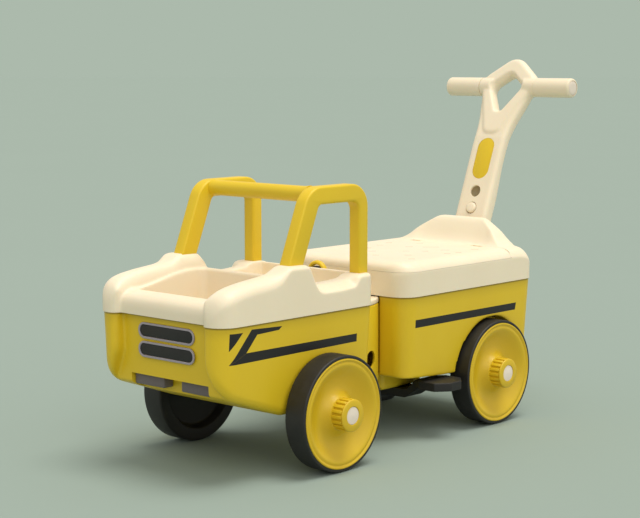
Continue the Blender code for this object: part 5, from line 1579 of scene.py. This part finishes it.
@dataclass
class SteeringJoint:
    """Drum on the front unit, its cream cap, the king pin and the small pull grip."""

    bench: Workbench
    pivot_y: float = 0.120
    flat_y: float = 0.1063
    drum_r: float = 0.0894
    low_z: float = 0.088
    top_z: float = 0.205
    cap_z: float = 0.2135
    arm_z: float = 0.140
    pin_r: float = 0.006
    pin_gap: float = 0.0003
    boss_r: float = 0.012
    arm_half: float = 0.030
    steer: float = 24.0
    window_at: Flat = (0.1385, 0.1275)
    window_r: float = 0.0125
    # Pin above its seat on the cap, as (height above the seat, radius)
    head: tuple[Flat, ...] = (
        (0.0001, 0.0095), (0.0108, 0.0095), (0.030, 0.0093), (0.0389, 0.0085), (0.0415, 0.0072),
        (0.0430, 0.0050))
    hoop_z: float = 0.2475
    hoop_r: float = 0.015
    hoop_thick: Flat = (0.0032, 0.0045)
    tube_r: float = 0.0145
    tube_bore: float = 0.0052
    axle_z: float = 0.080
    # Y of each axle and half the length of the tube round it
    front_tube: Flat = (0.0, 0.1225)
    rear_tube: Flat = (0.3854, 0.1009)

    def plan(self, radius: float, flat_y: float, steps: int = 96) -> list[Flat]:
        """Plan of the drum: a circle cut off by the back of the front unit.

        Args:
            radius: The drum's radius.
            flat_y: Place of its flat front.
            steps: Steps of the arc.

        Returns:
            The outline, as (X, Y).
        """
        start = math.asin((flat_y - self.pivot_y) / radius)
        angles = [start + (math.pi - 2 * start) * k / steps for k in range(steps + 1)]
        return [(radius * math.cos(a), self.pivot_y + radius * math.sin(a)) for a in angles]

    def drum(self) -> Shape:
        """Yellow drum with the slot for the arm and its round side openings.

        Returns:
            The drum, open at the top.
        """
        bench = self.bench
        shape = bench.prism("drum", self.plan(self.drum_r, self.flat_y), self.low_z, self.top_z, "z")
        bench.round_edges(shape, 0.0015, 3, 50.0)
        inside = self.plan(self.drum_r - WALL, self.flat_y + WALL)
        bench.combine(shape, bench.prism("drum_inside", inside, self.low_z + 0.004, self.top_z + 0.01, "z"))
        boss = bench.upright("boss", self.pivot_y, self.low_z + 0.001, self.arm_z - 0.0005,
                             self.boss_r, 48)
        bench.combine(shape, boss, Join.ADD)
        bench.combine(shape, bench.upright("bore", self.pivot_y, 0.0, FAR, self.pin_r + self.pin_gap, 48))
        reach = self.drum_r * math.sin(math.asin(self.arm_half / self.drum_r) + math.radians(self.steer))
        slot = bench.box("arm_slot", (-reach, self.pivot_y + 0.045, self.arm_z - 0.002),
                         (reach, self.pivot_y + 0.12, self.arm_z + 0.020))
        bench.combine(shape, slot)
        for side in Side:
            hole = bench.cross_rod("hole", side.value * self.drum_r / 2, side.value * FAR, self.window_at,
                                   self.window_r, 48)
            bench.combine(shape, hole)
        return shape

    def cap(self) -> Shape:
        """Cream cap on the drum with a rounded rim.

        Returns:
            The cap.
        """
        bench = self.bench
        shape = bench.prism("cap", self.plan(self.drum_r, self.flat_y), self.top_z + SEAM, self.cap_z, "z")
        bench.round_edges(shape, 0.0025, 5, 50.0)
        bench.combine(shape, bench.upright("bore", self.pivot_y, 0.0, FAR, self.pin_r + self.pin_gap, 48))
        return shape

    def pin(self) -> Shape:
        """King pin with its tall round head.

        Returns:
            The pin.
        """
        seat = self.cap_z + SEAM
        foot, r = self.low_z - 0.005, self.pin_r
        steps = [(foot, r - 0.001), (foot + 0.001, r), (seat, r)]
        steps += [(seat + up, out) for up, out in self.head]
        rings = [[(x, self.pivot_y + y, z) for x, y in circle(radius, 48)] for z, radius in steps]
        return self.bench.loft("pin", rings)

    def grip(self) -> Shape:
        """Yellow arch round the pin's head.

        Returns:
            The arch.
        """
        thick, wide = self.hoop_thick
        rings = []
        for k in range(61):
            angle = math.radians(-40 + 260 * k / 60)
            out = Vector((math.cos(angle), 0.0, math.sin(angle)))
            middle = Vector((0.0, self.pivot_y, self.hoop_z)) + out * self.hoop_r
            rings.append([tuple(middle + out * (thick * x) + Vector((0.0, wide * y, 0.0)))
                          for x, y in circle(1.0, 24)])
        return self.bench.loft("grip", rings)

    def housing(self, axle_y: float, half: float) -> Shape:
        """Black tube round an axle, its ends slightly bevelled.

        Args:
            axle_y: Place of the axle along the truck.
            half: Half the tube's length.

        Returns:
            The tube.
        """
        bore, r, edge = self.tube_bore, self.tube_r, 0.0006
        profile = [(-half, bore), (-half, r - edge), (-half + edge, r), (half - edge, r), (half, r - edge),
                   (half, bore)]
        return self.bench.turned("housing", profile, (0.0, axle_y, self.axle_z), 64)

    def build(self) -> None:
        """Model the steering joint and the two axle housings."""
        bench, finish = self.bench, self.bench.finish
        front, rear = "front_unit", "rear_unit"
        for shape, name, body, slot, material, node in (
                (self.drum(), "turning_drum", front, "yellow_plastic", finish.yellow, "pivot_drum"),
                (self.cap(), "turning_cap", front, "cream_plastic", finish.cream, "drum_cap"),
                (self.pin(), "king_pin", front, "steel", finish.black, "steering_pin"),
                (self.grip(), "pull_grip", front, "yellow_plastic", finish.yellow, "pin_grip"),
                (self.housing(*self.front_tube), "axle_tube_front", front, "black_plastic", finish.black,
                 "front_axle_housing"),
                (self.housing(*self.rear_tube), "axle_tube_rear", rear, "black_plastic", finish.black,
                 "rear_axle_housing")):
            bench.settle(shape, name, body, slot, material, node)


@dataclass
class RearUnit:
    """Seat unit: yellow tub, cream deck with the backrest, and the hinged seat lid."""

    bench: Workbench
    front: float = 0.170
    back: float = 0.497
    corner: float = 0.030
    pivot_y: float = 0.120
    recess_r: float = 0.0906
    axle: Flat = (0.3854, 0.080)
    well_x: float = 0.0979
    well_r: float = 0.085
    foot_y: float = 0.256
    seam_z: float = 0.2512
    top_z: float = 0.2655
    deck_y: float = 0.4283
    hinge: Flat = (0.4230, 0.2607)
    hinge_r: float = 0.0045
    hinge_reach: float = 0.0048
    bore_end: float = 0.087
    bore_r: float = 0.0020
    hump: float = 0.0405
    knuckle: Flat = (0.052, 0.070)
    top_skin: tuple[float, int] = (0.0016, 8)
    tub_skin: tuple[float, int] = (0.0018, 6)
    groove_r: float = 0.0148
    screw_r: float = 0.0033
    top_columns: int = 34
    least_angle: float = 20.0
    storage_half: float = 0.104
    storage_front: float = 0.020
    storage_back: float = 0.4095
    storage_corner: float = 0.012
    keel_low: Point = (-0.058, 0.196, 0.067)
    keel_high: Point = (0.058, 0.294, 0.110)
    belly_y: float = 0.272
    belly_z: tuple[float, float, float] = (0.0975, 0.0895, 0.0865)
    front_rise: Line = Line((
        (0.0, 0.2548), (0.0008, 0.2575), (0.0030, 0.2606), (0.0065, 0.2630), (0.0110, 0.2645),
        (0.0170, 0.2653), (0.0260, 0.2655), (0.20, 0.2655)), 0.0)
    back_fall: Line = Line((
        (0.0, 0.2460), (0.0009, 0.2505), (0.0030, 0.2550), (0.0065, 0.2587), (0.0115, 0.2616),
        (0.0180, 0.2635), (0.0270, 0.2650), (0.0400, 0.2655), (0.20, 0.2655)), 0.0)
    side_run: Line = Line((
        (0.0, 0.034), (0.015, 0.030), (0.035, 0.0235), (0.055, 0.0215), (0.4, 0.0215)), 0.006)
    side_drop: Line = Line((
        (0.0, 0.024), (0.015, 0.0205), (0.035, 0.0155), (0.055, 0.0140), (0.4, 0.0140)), 0.006)
    hump_rise: Line = Line((
        (0.40, 0.0), (0.4295, 0.0), (0.4325, 0.045), (0.4360, 0.130), (0.4400, 0.270), (0.4450, 0.520),
        (0.4500, 0.760), (0.4545, 0.920), (0.4590, 0.985), (0.4640, 1.0), (0.4700, 1.0),
        (0.4735, 0.98)), 0.003)
    hump_back: float = 0.4738
    # Backrest across the seat, 1 on its ridge, and how far its front stands back between its shoulders
    hump_line: Line = Line((
        (0.0, 1.0), (0.0400, 1.0), (0.0465, 0.955), (0.0730, 0.530), (0.0880, 0.190), (0.0950, 0.070),
        (0.1030, 0.0), (0.2, 0.0)), 0.006)
    scoop_line: Line = Line((
        (0.0, 0.0060), (0.0400, 0.0060), (0.0620, 0.0040), (0.0760, 0.0), (0.2, 0.0)), 0.004)
    mark_r: float = 0.0072
    mark_lift: float = 0.0066
    mark_way: Point = (0.741, 0.672, 0.0)
    # Grooves in the seat, as (X, Y, length)
    marks: tuple[Point, ...] = (
        (-0.0118, 0.3455, 0.012), (0.0220, 0.2966, 0.010), (0.0567, 0.2588, 0.011), (0.0900, 0.2260, 0.010),
        (0.0170, 0.3643, 0.026), (0.0580, 0.3470, 0.014), (0.0880, 0.3140, 0.010), (0.0930, 0.3350, 0.009),
        (0.0850, 0.3860, 0.012), (-0.0597, 0.3320, 0.011), (0.0213, 0.2267, 0.010), (-0.0164, 0.2618, 0.012),
        (-0.0718, 0.3687, 0.010), (-0.0480, 0.2900, 0.010), (-0.0300, 0.3950, 0.011), (0.0450, 0.3150, 0.009))

    def hump_at(self, x: float, y: float) -> float:
        """Height of the backrest above the seat at a place.

        Args:
            x: Place across the truck.
            y: Place along the truck.

        Returns:
            The height.
        """
        if y > self.hump_back:
            return 0.0
        return self.hump * min(self.hump_rise.at(y - self.scoop_line.at(abs(x))), self.hump_line.at(abs(x)))

    def body_ring(self, y: float, inset: float, low: float, arcs: int = 8) -> list[Point]:
        """Section of deck and lid together.

        Args:
            y: Place along the truck.
            inset: How far inside the outer skin.
            low: Height of its lower edge.
            arcs: Steps of the side rounding.

        Returns:
            The ring.
        """
        width = plan_half(y, self.front + inset, self.back - inset, self.corner - inset,
                          self.corner - inset, HALF_WIDTH - inset)
        top = min(self.front_rise.at(y - self.front), self.back_fall.at(self.back - y)) - inset
        run = self.side_run.at(self.back - y)
        drop = min(self.side_drop.at(self.back - y), top - 0.2300)
        half = [(width, low)]
        least = math.radians(self.least_angle)
        for k in range(arcs + 1):
            angle = least + (math.pi / 2 - least) * k / arcs
            up = (math.sin(angle) - math.sin(least)) / (1 - math.sin(least))
            half.append((width - run + run * math.cos(angle) / math.cos(least), top - drop + drop * up))
        for k in range(1, self.top_columns):
            x = (width - run) * (1 - k / self.top_columns)
            half.append((x, top + self.hump_at(x, y)))
        return mirror_ring(half, y)

    def top_body(self) -> Shape:
        """Deck, backrest and lid in one softened body, from which both are cut.

        Returns:
            The body, solid.
        """
        places = stations(self.front, self.back, self.corner, self.corner, 0.0022)
        places = sorted(places + [self.hump_back, self.hump_back + 0.0006])
        shape = self.bench.loft("top_body", [self.body_ring(y, 0.0, SPLIT_Z - 0.012) for y in places])
        self.bench.soften(shape, *self.top_skin)
        return shape

    def lid_space(self, name: str, gap: float) -> Shape:
        """Space of the lid. Grown, it is hollowed round the hinge, so that the lid's rear corner can swing.

        Args:
            name: Name of the shape.
            gap: How far it is grown.

        Returns:
            The space.
        """
        hy, hz = self.hinge
        low = self.seam_z + SEAM - gap
        reach, swing = self.hinge_reach + gap, hz - low
        side = [(-FAR, low), (hy, low)]
        if gap:
            corner = self.hinge_reach * math.sqrt(2.0) + gap
            turn = math.acos(reach / corner)
            side += [(hy + reach, low)]
            side += [(hy + corner * math.cos(a), hz + corner * math.sin(a)) for a in spread(-turn, turn, 12)]
        else:
            side += [(hy + r, hz - math.sqrt(swing ** 2 - r ** 2)) for r in spread(reach / 8, reach, 7)]
        side += [(hy + reach, FAR), (-FAR, FAR)]
        return self.bench.prism(name, side, -FAR, FAR)

    def bore(self, radius: float) -> Shape:
        """Bore for the lid's pin."""
        return self.bench.cross_rod("bore", -self.bore_end, self.bore_end, self.hinge, radius, 24)

    def knuckle_space(self, side: Side, gap: float) -> Flat:
        """Lowest and highest X of a hinge knuckle."""
        low, high = sorted((side.value * self.knuckle[0], side.value * self.knuckle[1]))
        return low - gap, high + gap

    def lid(self, shape: Shape) -> Shape:
        """Cut the seat lid out of the top body.

        Args:
            shape: A copy of the top body.

        Returns:
            The lid.
        """
        bench = self.bench
        bench.carve(shape, self.lid_space("lid_space", 0.0), Join.KEEP)
        hy = self.hinge[0]
        inner_y = spread(self.front + WALL, hy - 0.007, 12)
        inner = bench.loft("lid_inside", [self.body_ring(y, WALL, self.seam_z - 0.02, 3) for y in inner_y])
        bench.carve(shape, inner)
        for side in Side:
            low, high = self.knuckle_space(side, 0.0005)
            bench.carve(shape, bench.box("notch", (low, hy - self.hinge_reach, self.seam_z - 0.01),
                                         (high, hy + 0.02, self.top_z + 0.01)))
        bench.carve(shape, self.bore(self.bore_r + 0.0001))
        for x, y, length in self.marks:
            reach, middle = Vector(self.mark_way) * (length / 2), Vector((x, y, self.top_z + self.mark_lift))
            mark = bench.rod("mark", tuple(middle - reach), tuple(middle + reach), self.mark_r, 48)
            bench.carve(shape, mark)
        return shape

    def deck(self, shape: Shape) -> Shape:
        """Cut the deck with its backrest out of the top body.

        Args:
            shape: The top body.

        Returns:
            The deck, open below, with the storage opening under the lid.
        """
        bench = self.bench
        hy, hz = self.hinge
        bench.carve(shape, self.lid_space("lid_room", SEAM))
        bench.carve(shape, bench.box("below_split", (-0.2, 0.1, 0.15), (0.2, 0.6, SPLIT_Z + SEAM)))
        front_y = spread(self.front + WALL, self.deck_y + WALL, 16)
        low_rings = []
        for y in front_y:
            width = plan_half(y, self.front + WALL, 1.0, self.corner - WALL, 0.01, HALF_WIDTH - WALL)
            low_rings.append(mirror_ring([(width, 0.19), (width, self.seam_z - WALL)], y))
        bench.carve(shape, bench.loft("under_seat", low_rings))
        step = self.hump_back - WALL
        rear_y = sorted([*spread(self.deck_y + WALL + 0.0015, self.back - WALL, 24), step, step + 0.0006])
        rings = [self.body_ring(y if y <= step else max(y, self.hump_back + 0.0010), WALL, 0.19, 3)
                 for y in rear_y]
        rings = [[(x, y, z) for x, _, z in ring] for ring, y in zip(rings, rear_y)]
        bench.carve(shape, bench.loft("under_deck", rings))
        opening = oblong(self.storage_half, self.front + self.storage_front, self.storage_back,
                         self.storage_corner, 6)
        bench.carve(shape, bench.prism("storage", opening, self.seam_z - 0.016, self.seam_z + 0.002, "z"))
        bench.carve(shape, Handle.bar(bench, "handle_slot", Handle.half + 0.0007, -0.0007,
                                      Handle.thick + 0.0007, -0.165, 0.05, Handle.edge + 0.0005))
        for side in Side:
            low, high = self.knuckle_space(side, 0.0)
            knuckle = bench.cross_rod("knuckle", low, high, self.hinge, self.hinge_r - 0.0002, 32)
            web = bench.box("web", (low, hy + 0.0005, hz - 0.0030), (high, self.deck_y + 0.004, hz + 0.0028))
            bench.combine(knuckle, web, Join.ADD)
            bench.carve(shape, knuckle, Join.ADD)
        bench.carve(shape, self.bore(self.bore_r))
        return shape

    def tub_plan(self, d: float, arcs: int) -> list[Flat]:
        """Plan of the tub, moved in by d."""
        return oblong(HALF_WIDTH - d, self.front + d, self.back - d, self.corner - d, arcs)

    def tub(self) -> Shape:
        """Yellow tub with its wheel wells, keel and the recess for the drum.

        Returns:
            The tub.
        """
        bench = self.bench
        rings = [[(x, y, z) for x, y in self.tub_plan(REVEAL + DRAFT * (SPLIT_Z - z), 12)]
                 for z in (0.050, SPLIT_Z + 0.012)]
        shape = bench.loft("rear_tub", rings)
        front, back = self.front, self.back
        (low_front, low_middle, low_back), middle = self.belly_z, self.belly_y
        belly = [(front - 0.02, FAR), (front - 0.02, low_front), (middle, low_middle),
                 (back - 0.012, low_back), (back + 0.02, 0.1065), (back + 0.02, FAR)]
        bench.combine(shape, bench.prism("belly", belly, -FAR, FAR), Join.KEEP)
        keel = bench.box("keel", self.keel_low, self.keel_high)
        bench.round_edges(keel, 0.008, 3)
        bench.combine(shape, keel, Join.ADD)
        bench.combine(shape, bench.upright("recess", self.pivot_y, 0.0, FAR, self.recess_r, 160))
        for side in Side:
            well = bench.cross_rod("well", side.value * self.well_x, side.value * FAR, self.axle,
                                   self.well_r, 128)
            bench.combine(shape, well)
        bench.soften(shape, *self.tub_skin)
        bench.carve(shape, bench.box("above_split", (-0.2, 0.1, SPLIT_Z), (0.2, 0.6, 0.26)))
        bench.carve(shape, self.tub_hollow())
        bench.carve(shape, bench.upright("screw_bore", self.foot_y, 0.0, 0.0883, self.screw_r, 24))
        bench.carve(shape, bench.cross_rod("groove", -FAR, FAR, self.axle, self.groove_r))
        return shape

    def tub_hollow(self) -> Shape:
        """Space inside the tub, clear of the wells, the recess, the axle and the screw boss.

        Returns:
            The space, as a closed shape.
        """
        bench = self.bench
        rings = [[(x, y, z) for x, y in self.tub_plan(REVEAL + DRAFT * (SPLIT_Z - z) + WALL, 6)]
                 for z in (0.050, SPLIT_Z + 0.02)]
        hollow = bench.loft("tub_hollow", rings)
        low_front, low_middle, low_back = (z + WALL for z in self.belly_z)
        floor = [(0.10, low_front - 0.0010), (self.belly_y, low_middle), (self.back, low_back),
                 (FAR, low_back), (FAR, FAR), (0.10, FAR)]
        bench.combine(hollow, bench.prism("hollow_floor", floor, -FAR, FAR), Join.KEEP)
        (x0, y0, z0), (x1, y1, z1) = self.keel_low, self.keel_high
        inside = bench.box("keel_inside", (x0 + WALL, y0 + WALL, z0 + WALL), (x1 - WALL, y1 - WALL, z1))
        bench.combine(hollow, inside, Join.ADD)
        for cutter in (bench.upright("boss", self.foot_y, 0.067, 0.090, 0.007, 32),
                       bench.upright("wall", self.pivot_y, 0.0, FAR, self.recess_r + WALL, 96),
                       bench.cross_rod("hump", -FAR, FAR, self.axle, self.groove_r + WALL, 48)):
            bench.combine(hollow, cutter)
        for side in Side:
            skin = bench.cross_rod("skin", side.value * (self.well_x - WALL), side.value * FAR, self.axle,
                                   self.well_r + WALL, 96)
            bench.combine(hollow, skin)
        return hollow

    def build(self) -> None:
        """Model the rear unit and the lid."""
        bench, finish = self.bench, self.bench.finish
        top = self.top_body()
        lid = self.lid(bench.copy(top))
        for shape, name, body, slot, material, node in (
                (lid, "cream_seat_lid", "seat_lid", "cream_plastic", finish.seat, "seat_lid"),
                (self.deck(top), "cream_rear_deck", "rear_unit", "cream_plastic", finish.cream, "rear_cover"),
                (self.tub(), "yellow_rear_tub", "rear_unit", "yellow_plastic", finish.rear_side, "rear_tub")):
            bench.settle(shape, name, body, slot, material, node)


@dataclass
class Handle:
    """Push handle: raked bar, loop, grips, inlay and the round button."""

    bench: Workbench
    half: ClassVar[float] = 0.031
    thick: ClassVar[float] = 0.024
    edge: ClassVar[float] = 0.007
    rake: ClassVar[float] = math.atan(0.390)
    reference: ClassVar[Flat] = (0.4999, 0.3443)
    loop_rake: float = math.radians(31.0)
    loop_centre: Flat = (0.593, 0.510)
    loop_thick: float = 0.024
    grip_r: float = 0.0155
    grip_end: float = 0.1229
    grip_start: float = 0.054
    loop_hole_v: float = -0.0130
    # Share by which the loop's hole grows, by the distance from the loop's middle
    flare: Line = Line((
        (-0.05, 0.50), (-0.0135, 0.26), (-0.0105, 0.13), (-0.0070, 0.045), (-0.0030, 0.005), (0.0, 0.0),
        (0.0030, 0.005), (0.0070, 0.045), (0.0105, 0.13), (0.0135, 0.26), (0.05, 0.50)), 0.001)
    flare_levels: tuple[float, ...] = (0.0030, 0.0060, 0.0085, 0.0110, 0.0135, 0.020)
    thickness: Line = Line(((-0.17, 0.024), (-0.005, 0.024), (0.045, 0.020), (0.10, 0.020)), 0.012)
    skin: tuple[float, int] = (0.0013, 8)
    plate_round: float = 0.0095
    loop_half: float = 0.0580
    bar_low: float = -0.165
    bar_high: float = 0.072
    neck_low: float = -0.098
    inlay_half: float = 0.016
    inlay_s: Flat = (0.021, 0.091)
    inlay_deep: float = 0.0022
    cup_r: float = 0.0118
    # Dimple and button, as (depth behind the handle's front, radius)
    dimple: tuple[Flat, ...] = (
        (-0.012, 0.0108), (0.0, 0.0100), (0.0012, 0.0094), (0.0040, 0.0090), (0.0064, 0.0078),
        (0.0080, 0.0058), (0.0088, 0.0030))
    button: tuple[Flat, ...] = (
        (-0.0035, 0.0020), (-0.0034, 0.0048), (-0.0031, 0.0066), (-0.0024, 0.0080), (-0.0012, 0.0087),
        (0.0, 0.0089), (0.0043, 0.0089), (0.0044, 0.0112), (0.0057, 0.0112))
    button_hole_r: float = 0.0101
    # Outer end of a grip and its plug, as (depth below the end, depth below the grip's radius)
    grip_line: tuple[Flat, ...] = (
        (0.0042, 0.0), (0.0026, 0.0003), (0.0014, 0.0011), (0.0007, 0.0022), (0.0004, 0.0035),
        (0.0060, 0.0036))
    plug_line: tuple[Flat, ...] = (
        (0.0057, 0.0040), (0.0014, 0.0040), (0.0007, 0.0046), (0.0003, 0.0056), (0.0, 0.0090))
    grip_bore: float = 0.0095
    button_s: ClassVar[float] = -0.0285
    neck: Line = Line((
        (-0.0980, 0.0312), (-0.0820, 0.0322), (-0.0640, 0.0352), (-0.0440, 0.0405), (-0.0220, 0.0460),
        (0.0, 0.0490)), 0.012)

    @classmethod
    def point(cls, x: float, s: float, depth: float) -> Point:
        """Point at x, s up the handle from its dimple, depth behind the front face."""
        sin_r, cos_r = math.sin(cls.rake), math.cos(cls.rake)
        return (x, cls.reference[0] + s * sin_r + depth * cos_r, cls.reference[1] + s * cos_r - depth * sin_r)

    @classmethod
    def bar(cls, bench: Workbench, name: str, half: float, front: float, back: float, low: float,
            high: float, radius: float = 0.0) -> Shape:
        """Bar along the raked handle, from front to back in depth and from low to high along it."""
        outline = oblong(half, front, back, radius, 6)
        return bench.loft(name, [[cls.point(x, s, d) for x, d in outline] for s in (low, high)])

    def loop_point(self, u: float, v: float, n: float) -> Point:
        """Point in the loop's plane: u across, v up the plane, n behind its middle."""
        sin_r, cos_r = math.sin(self.loop_rake), math.cos(self.loop_rake)
        return (u, self.loop_centre[0] + v * sin_r + n * cos_r, self.loop_centre[1] + v * cos_r - n * sin_r)

    def disc(self, name: str, s: float, steps: Sequence[Flat]) -> Shape:
        """Round shape square to the handle's front, through rings of (depth, radius)."""
        return self.bench.loft(name, [[self.point(x, s + up, depth) for x, up in circle(radius, 64)]
                                      for depth, radius in steps])

    def stadium(self, name: str, shrink: float, front: float, back: float) -> Shape:
        """Long round-ended block of the yellow inlay.

        Args:
            name: Name of the shape.
            shrink: How far its outline is moved in.
            front: Depth of its front.
            back: Depth of its back.

        Returns:
            The block.
        """
        half, (low, high) = self.inlay_half - shrink, self.inlay_s
        outline = oblong(half, low + shrink, high - shrink, half - 0.0001, 14)
        return self.bench.loft(name, [[self.point(x, s, d) for x, s in outline] for d in (front, back)])

    def section(self, half: float, front: float, back: float) -> list[Flat]:
        """Rounded section of the bar."""
        return oblong(half, front, back, self.edge + 0.0005, 8)

    def casing(self) -> Shape:
        """Cream bar with its loop, hollow where it slides over the post.

        Returns:
            The bar with its loop.
        """
        bench = self.bench
        rings = [[self.point(x, s, d) for x, d in self.section(self.half, 0.0, self.thickness.at(s))]
                 for s in spread(self.bar_low, self.bar_high, 40)]
        front = 0.003 - self.loop_thick / 2
        rings += [[self.loop_point(x, v, n) for x, n in self.section(self.neck.at(v), front, front + 0.020)]
                  for v in spread(self.neck_low, 0.0, 24)]
        shape = bench.loft("casing", rings)
        wide = self.loop_half
        outer = rounded([(0.0, wide, 0.026), (wide, 0.0100, 0.026), (0.0165, -0.0950, 0.018),
                         (-0.0165, -0.0950, 0.018), (-wide, 0.0100, 0.026)], 12)
        plate = bench.loft("loop", [[self.loop_point(u, v, n) for u, v in outer]
                                    for n in (-self.loop_thick / 2, self.loop_thick / 2)])
        bench.round_edges(plate, self.plate_round, 8, 50.0)
        bench.combine(shape, plate, Join.ADD)
        for side in Side:
            start, end = side.value * 0.030, side.value * (self.grip_start - SEAM)
            collar = bench.cross_rod("collar", start, end, self.loop_centre, self.grip_r)
            bench.combine(shape, collar, Join.ADD)
        hole = rounded([(0.0, 0.0215, 0.012), (0.0305, -0.0030, 0.014), (0.0, -0.0560, 0.009),
                        (-0.0305, -0.0030, 0.014)], 10)
        middle = self.loop_hole_v
        rings = []
        for n in [-level for level in reversed(self.flare_levels)] + [0.0, *self.flare_levels]:
            grow = 1.0 + self.flare.at(n)
            rings.append([self.loop_point(u * grow, middle + (v - middle) * grow, n) for u, v in hole])
        bench.combine(shape, bench.loft("loop_hole", rings))
        bench.soften(shape, *self.skin)
        for side in Side:
            start, end = side.value * 0.045, side.value * 0.085
            stub = bench.cross_rod("stub", start, end, self.loop_centre, 0.009, 48)
            bench.carve(shape, stub, Join.ADD)
        wall = 0.004
        channel = self.bar(bench, "channel", self.half - wall, wall, self.thick - wall, -0.185, 0.015, 0.001)
        bench.carve(shape, channel)
        bench.carve(shape, self.disc("cup", 0.0, ((0.0005, self.cup_r), (0.0105, self.cup_r))), Join.ADD)
        bench.carve(shape, self.disc("dimple", 0.0, self.dimple))
        hole = ((-0.02, self.button_hole_r), (0.007, self.button_hole_r))
        bench.carve(shape, self.disc("button_hole", self.button_s, hole))
        bench.carve(shape, self.stadium("inlay_pocket", 0.0, -0.01, self.inlay_deep))
        return shape

    def grip(self) -> Shape:
        """Round grip of the left hand with a soft outer rim.

        Returns:
            The grip.
        """
        start, end, r = self.grip_start, self.grip_end, self.grip_r
        profile = [(start, self.grip_bore), (start, r - 0.0002), (start + 0.0002, r)]
        profile += [(end - down, r - shrink) for down, shrink in self.grip_line]
        profile += [(end - 0.0060, self.grip_bore)]
        return self.bench.turned("grip", profile, (0.0, *self.loop_centre), 96)

    def grip_cap(self) -> Shape:
        """Paler end plug of the left grip, slightly domed.

        Returns:
            The plug.
        """
        y, z = self.loop_centre
        rings = [[(self.grip_end - down, y + across, z + up)
                  for across, up in circle(self.grip_r - shrink, 64)] for down, shrink in self.plug_line]
        return self.bench.loft("plug", rings)

    def build(self) -> None:
        """Model the push handle."""
        bench, finish = self.bench, self.bench.finish
        body = "push_handle"
        bench.settle(self.casing(), "handle_bar", body, "cream_plastic", finish.handle, "handle_casing")
        inlay = self.stadium("inlay", SEAM, 0.0006, self.inlay_deep - SEAM)
        bench.round_edges(inlay, 0.0005, 2)
        bench.settle(inlay, "yellow_inlay", body, "yellow_plastic", finish.yellow, "handle_inlay")
        grip, plug = self.grip(), self.grip_cap()
        for side, turn, shift in ((Side.LEFT, 0.0, 0.0), (Side.RIGHT, math.pi, 2 * self.loop_centre[0])):
            bench.settle(bench.copy(grip, (0.0, shift, 0.0), turn), f"hand_grip_{side.word}", body,
                         "cream_plastic", finish.cream, f"grip_{side.word}")
            bench.settle(bench.copy(plug, (0.0, shift, 0.0), turn), f"hand_plug_{side.word}", body,
                         "white_plastic", finish.white, f"grip_cap_{side.word}")
        bench.discard(grip, plug)
        button = self.disc("button", self.button_s, self.button)
        bench.settle(button, "round_button", "lock_button", "cream_plastic", finish.cream, "height_button")


@dataclass
class Footrest:
    """Black footrest bar under the rear unit's keel."""

    bench: Workbench
    skin: tuple[float, int] = (0.0012, 4)

    def build(self) -> None:
        """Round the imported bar's edges."""
        bench = self.bench
        shape = bench.copy_node("footrest", "footrest_copy")
        bench.soften(shape, *self.skin)
        bench.settle(shape, "foot_bar", "rear_unit", "black_plastic", bench.finish.black, "footrest")


def dress_nodes(finish: Finish) -> None:
    """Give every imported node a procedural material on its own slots.

    Args:
        finish: The truck's finishes.
    """
    by_slot = {"yellow_plastic": finish.yellow, "cream_plastic": finish.cream, "black_plastic": finish.black,
               "black_tyre": finish.tread, "grey_plastic": finish.grey, "pale_trim": finish.rim,
               "white_plastic": finish.white, "steel": finish.steel}
    special = {"front_tub": finish.front_side, "rear_tub": finish.rear_side}
    slots = {part["node"]: part["material_slot"] for part in frame["record"]["subparts"]}
    for node, shape in frame["nodes"].items():
        material = special.get(node, by_slot[slots[node]])
        for slot in shape.material_slots:
            slot.material = material
        if not shape.material_slots:
            shape.data.materials.append(material)


def main() -> None:
    """Build every sub-assembly in order."""
    logging.basicConfig(level=logging.INFO, format="%(message)s")
    low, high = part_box("tyre_front_left")
    front_y = (low.y + high.y) / 2
    rear_low, rear_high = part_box("tyre_rear_left")
    rear_y = (rear_low.y + rear_high.y) / 2 - front_y
    Studio(front_y).build()
    finish = Finish(front_y)
    dress_nodes(finish)
    bench = Workbench(front_y, finish)
    Wheels(bench).build({"front": (high.x, 0.0, high.z / 2), "rear": (rear_high.x, rear_y, rear_high.z / 2)})
    FrontUnit(bench).build()
    SteeringJoint(bench).build()
    RearUnit(bench).build()
    Handle(bench).build()
    Footrest(bench).build()


if __name__ == "__main__":
    main()
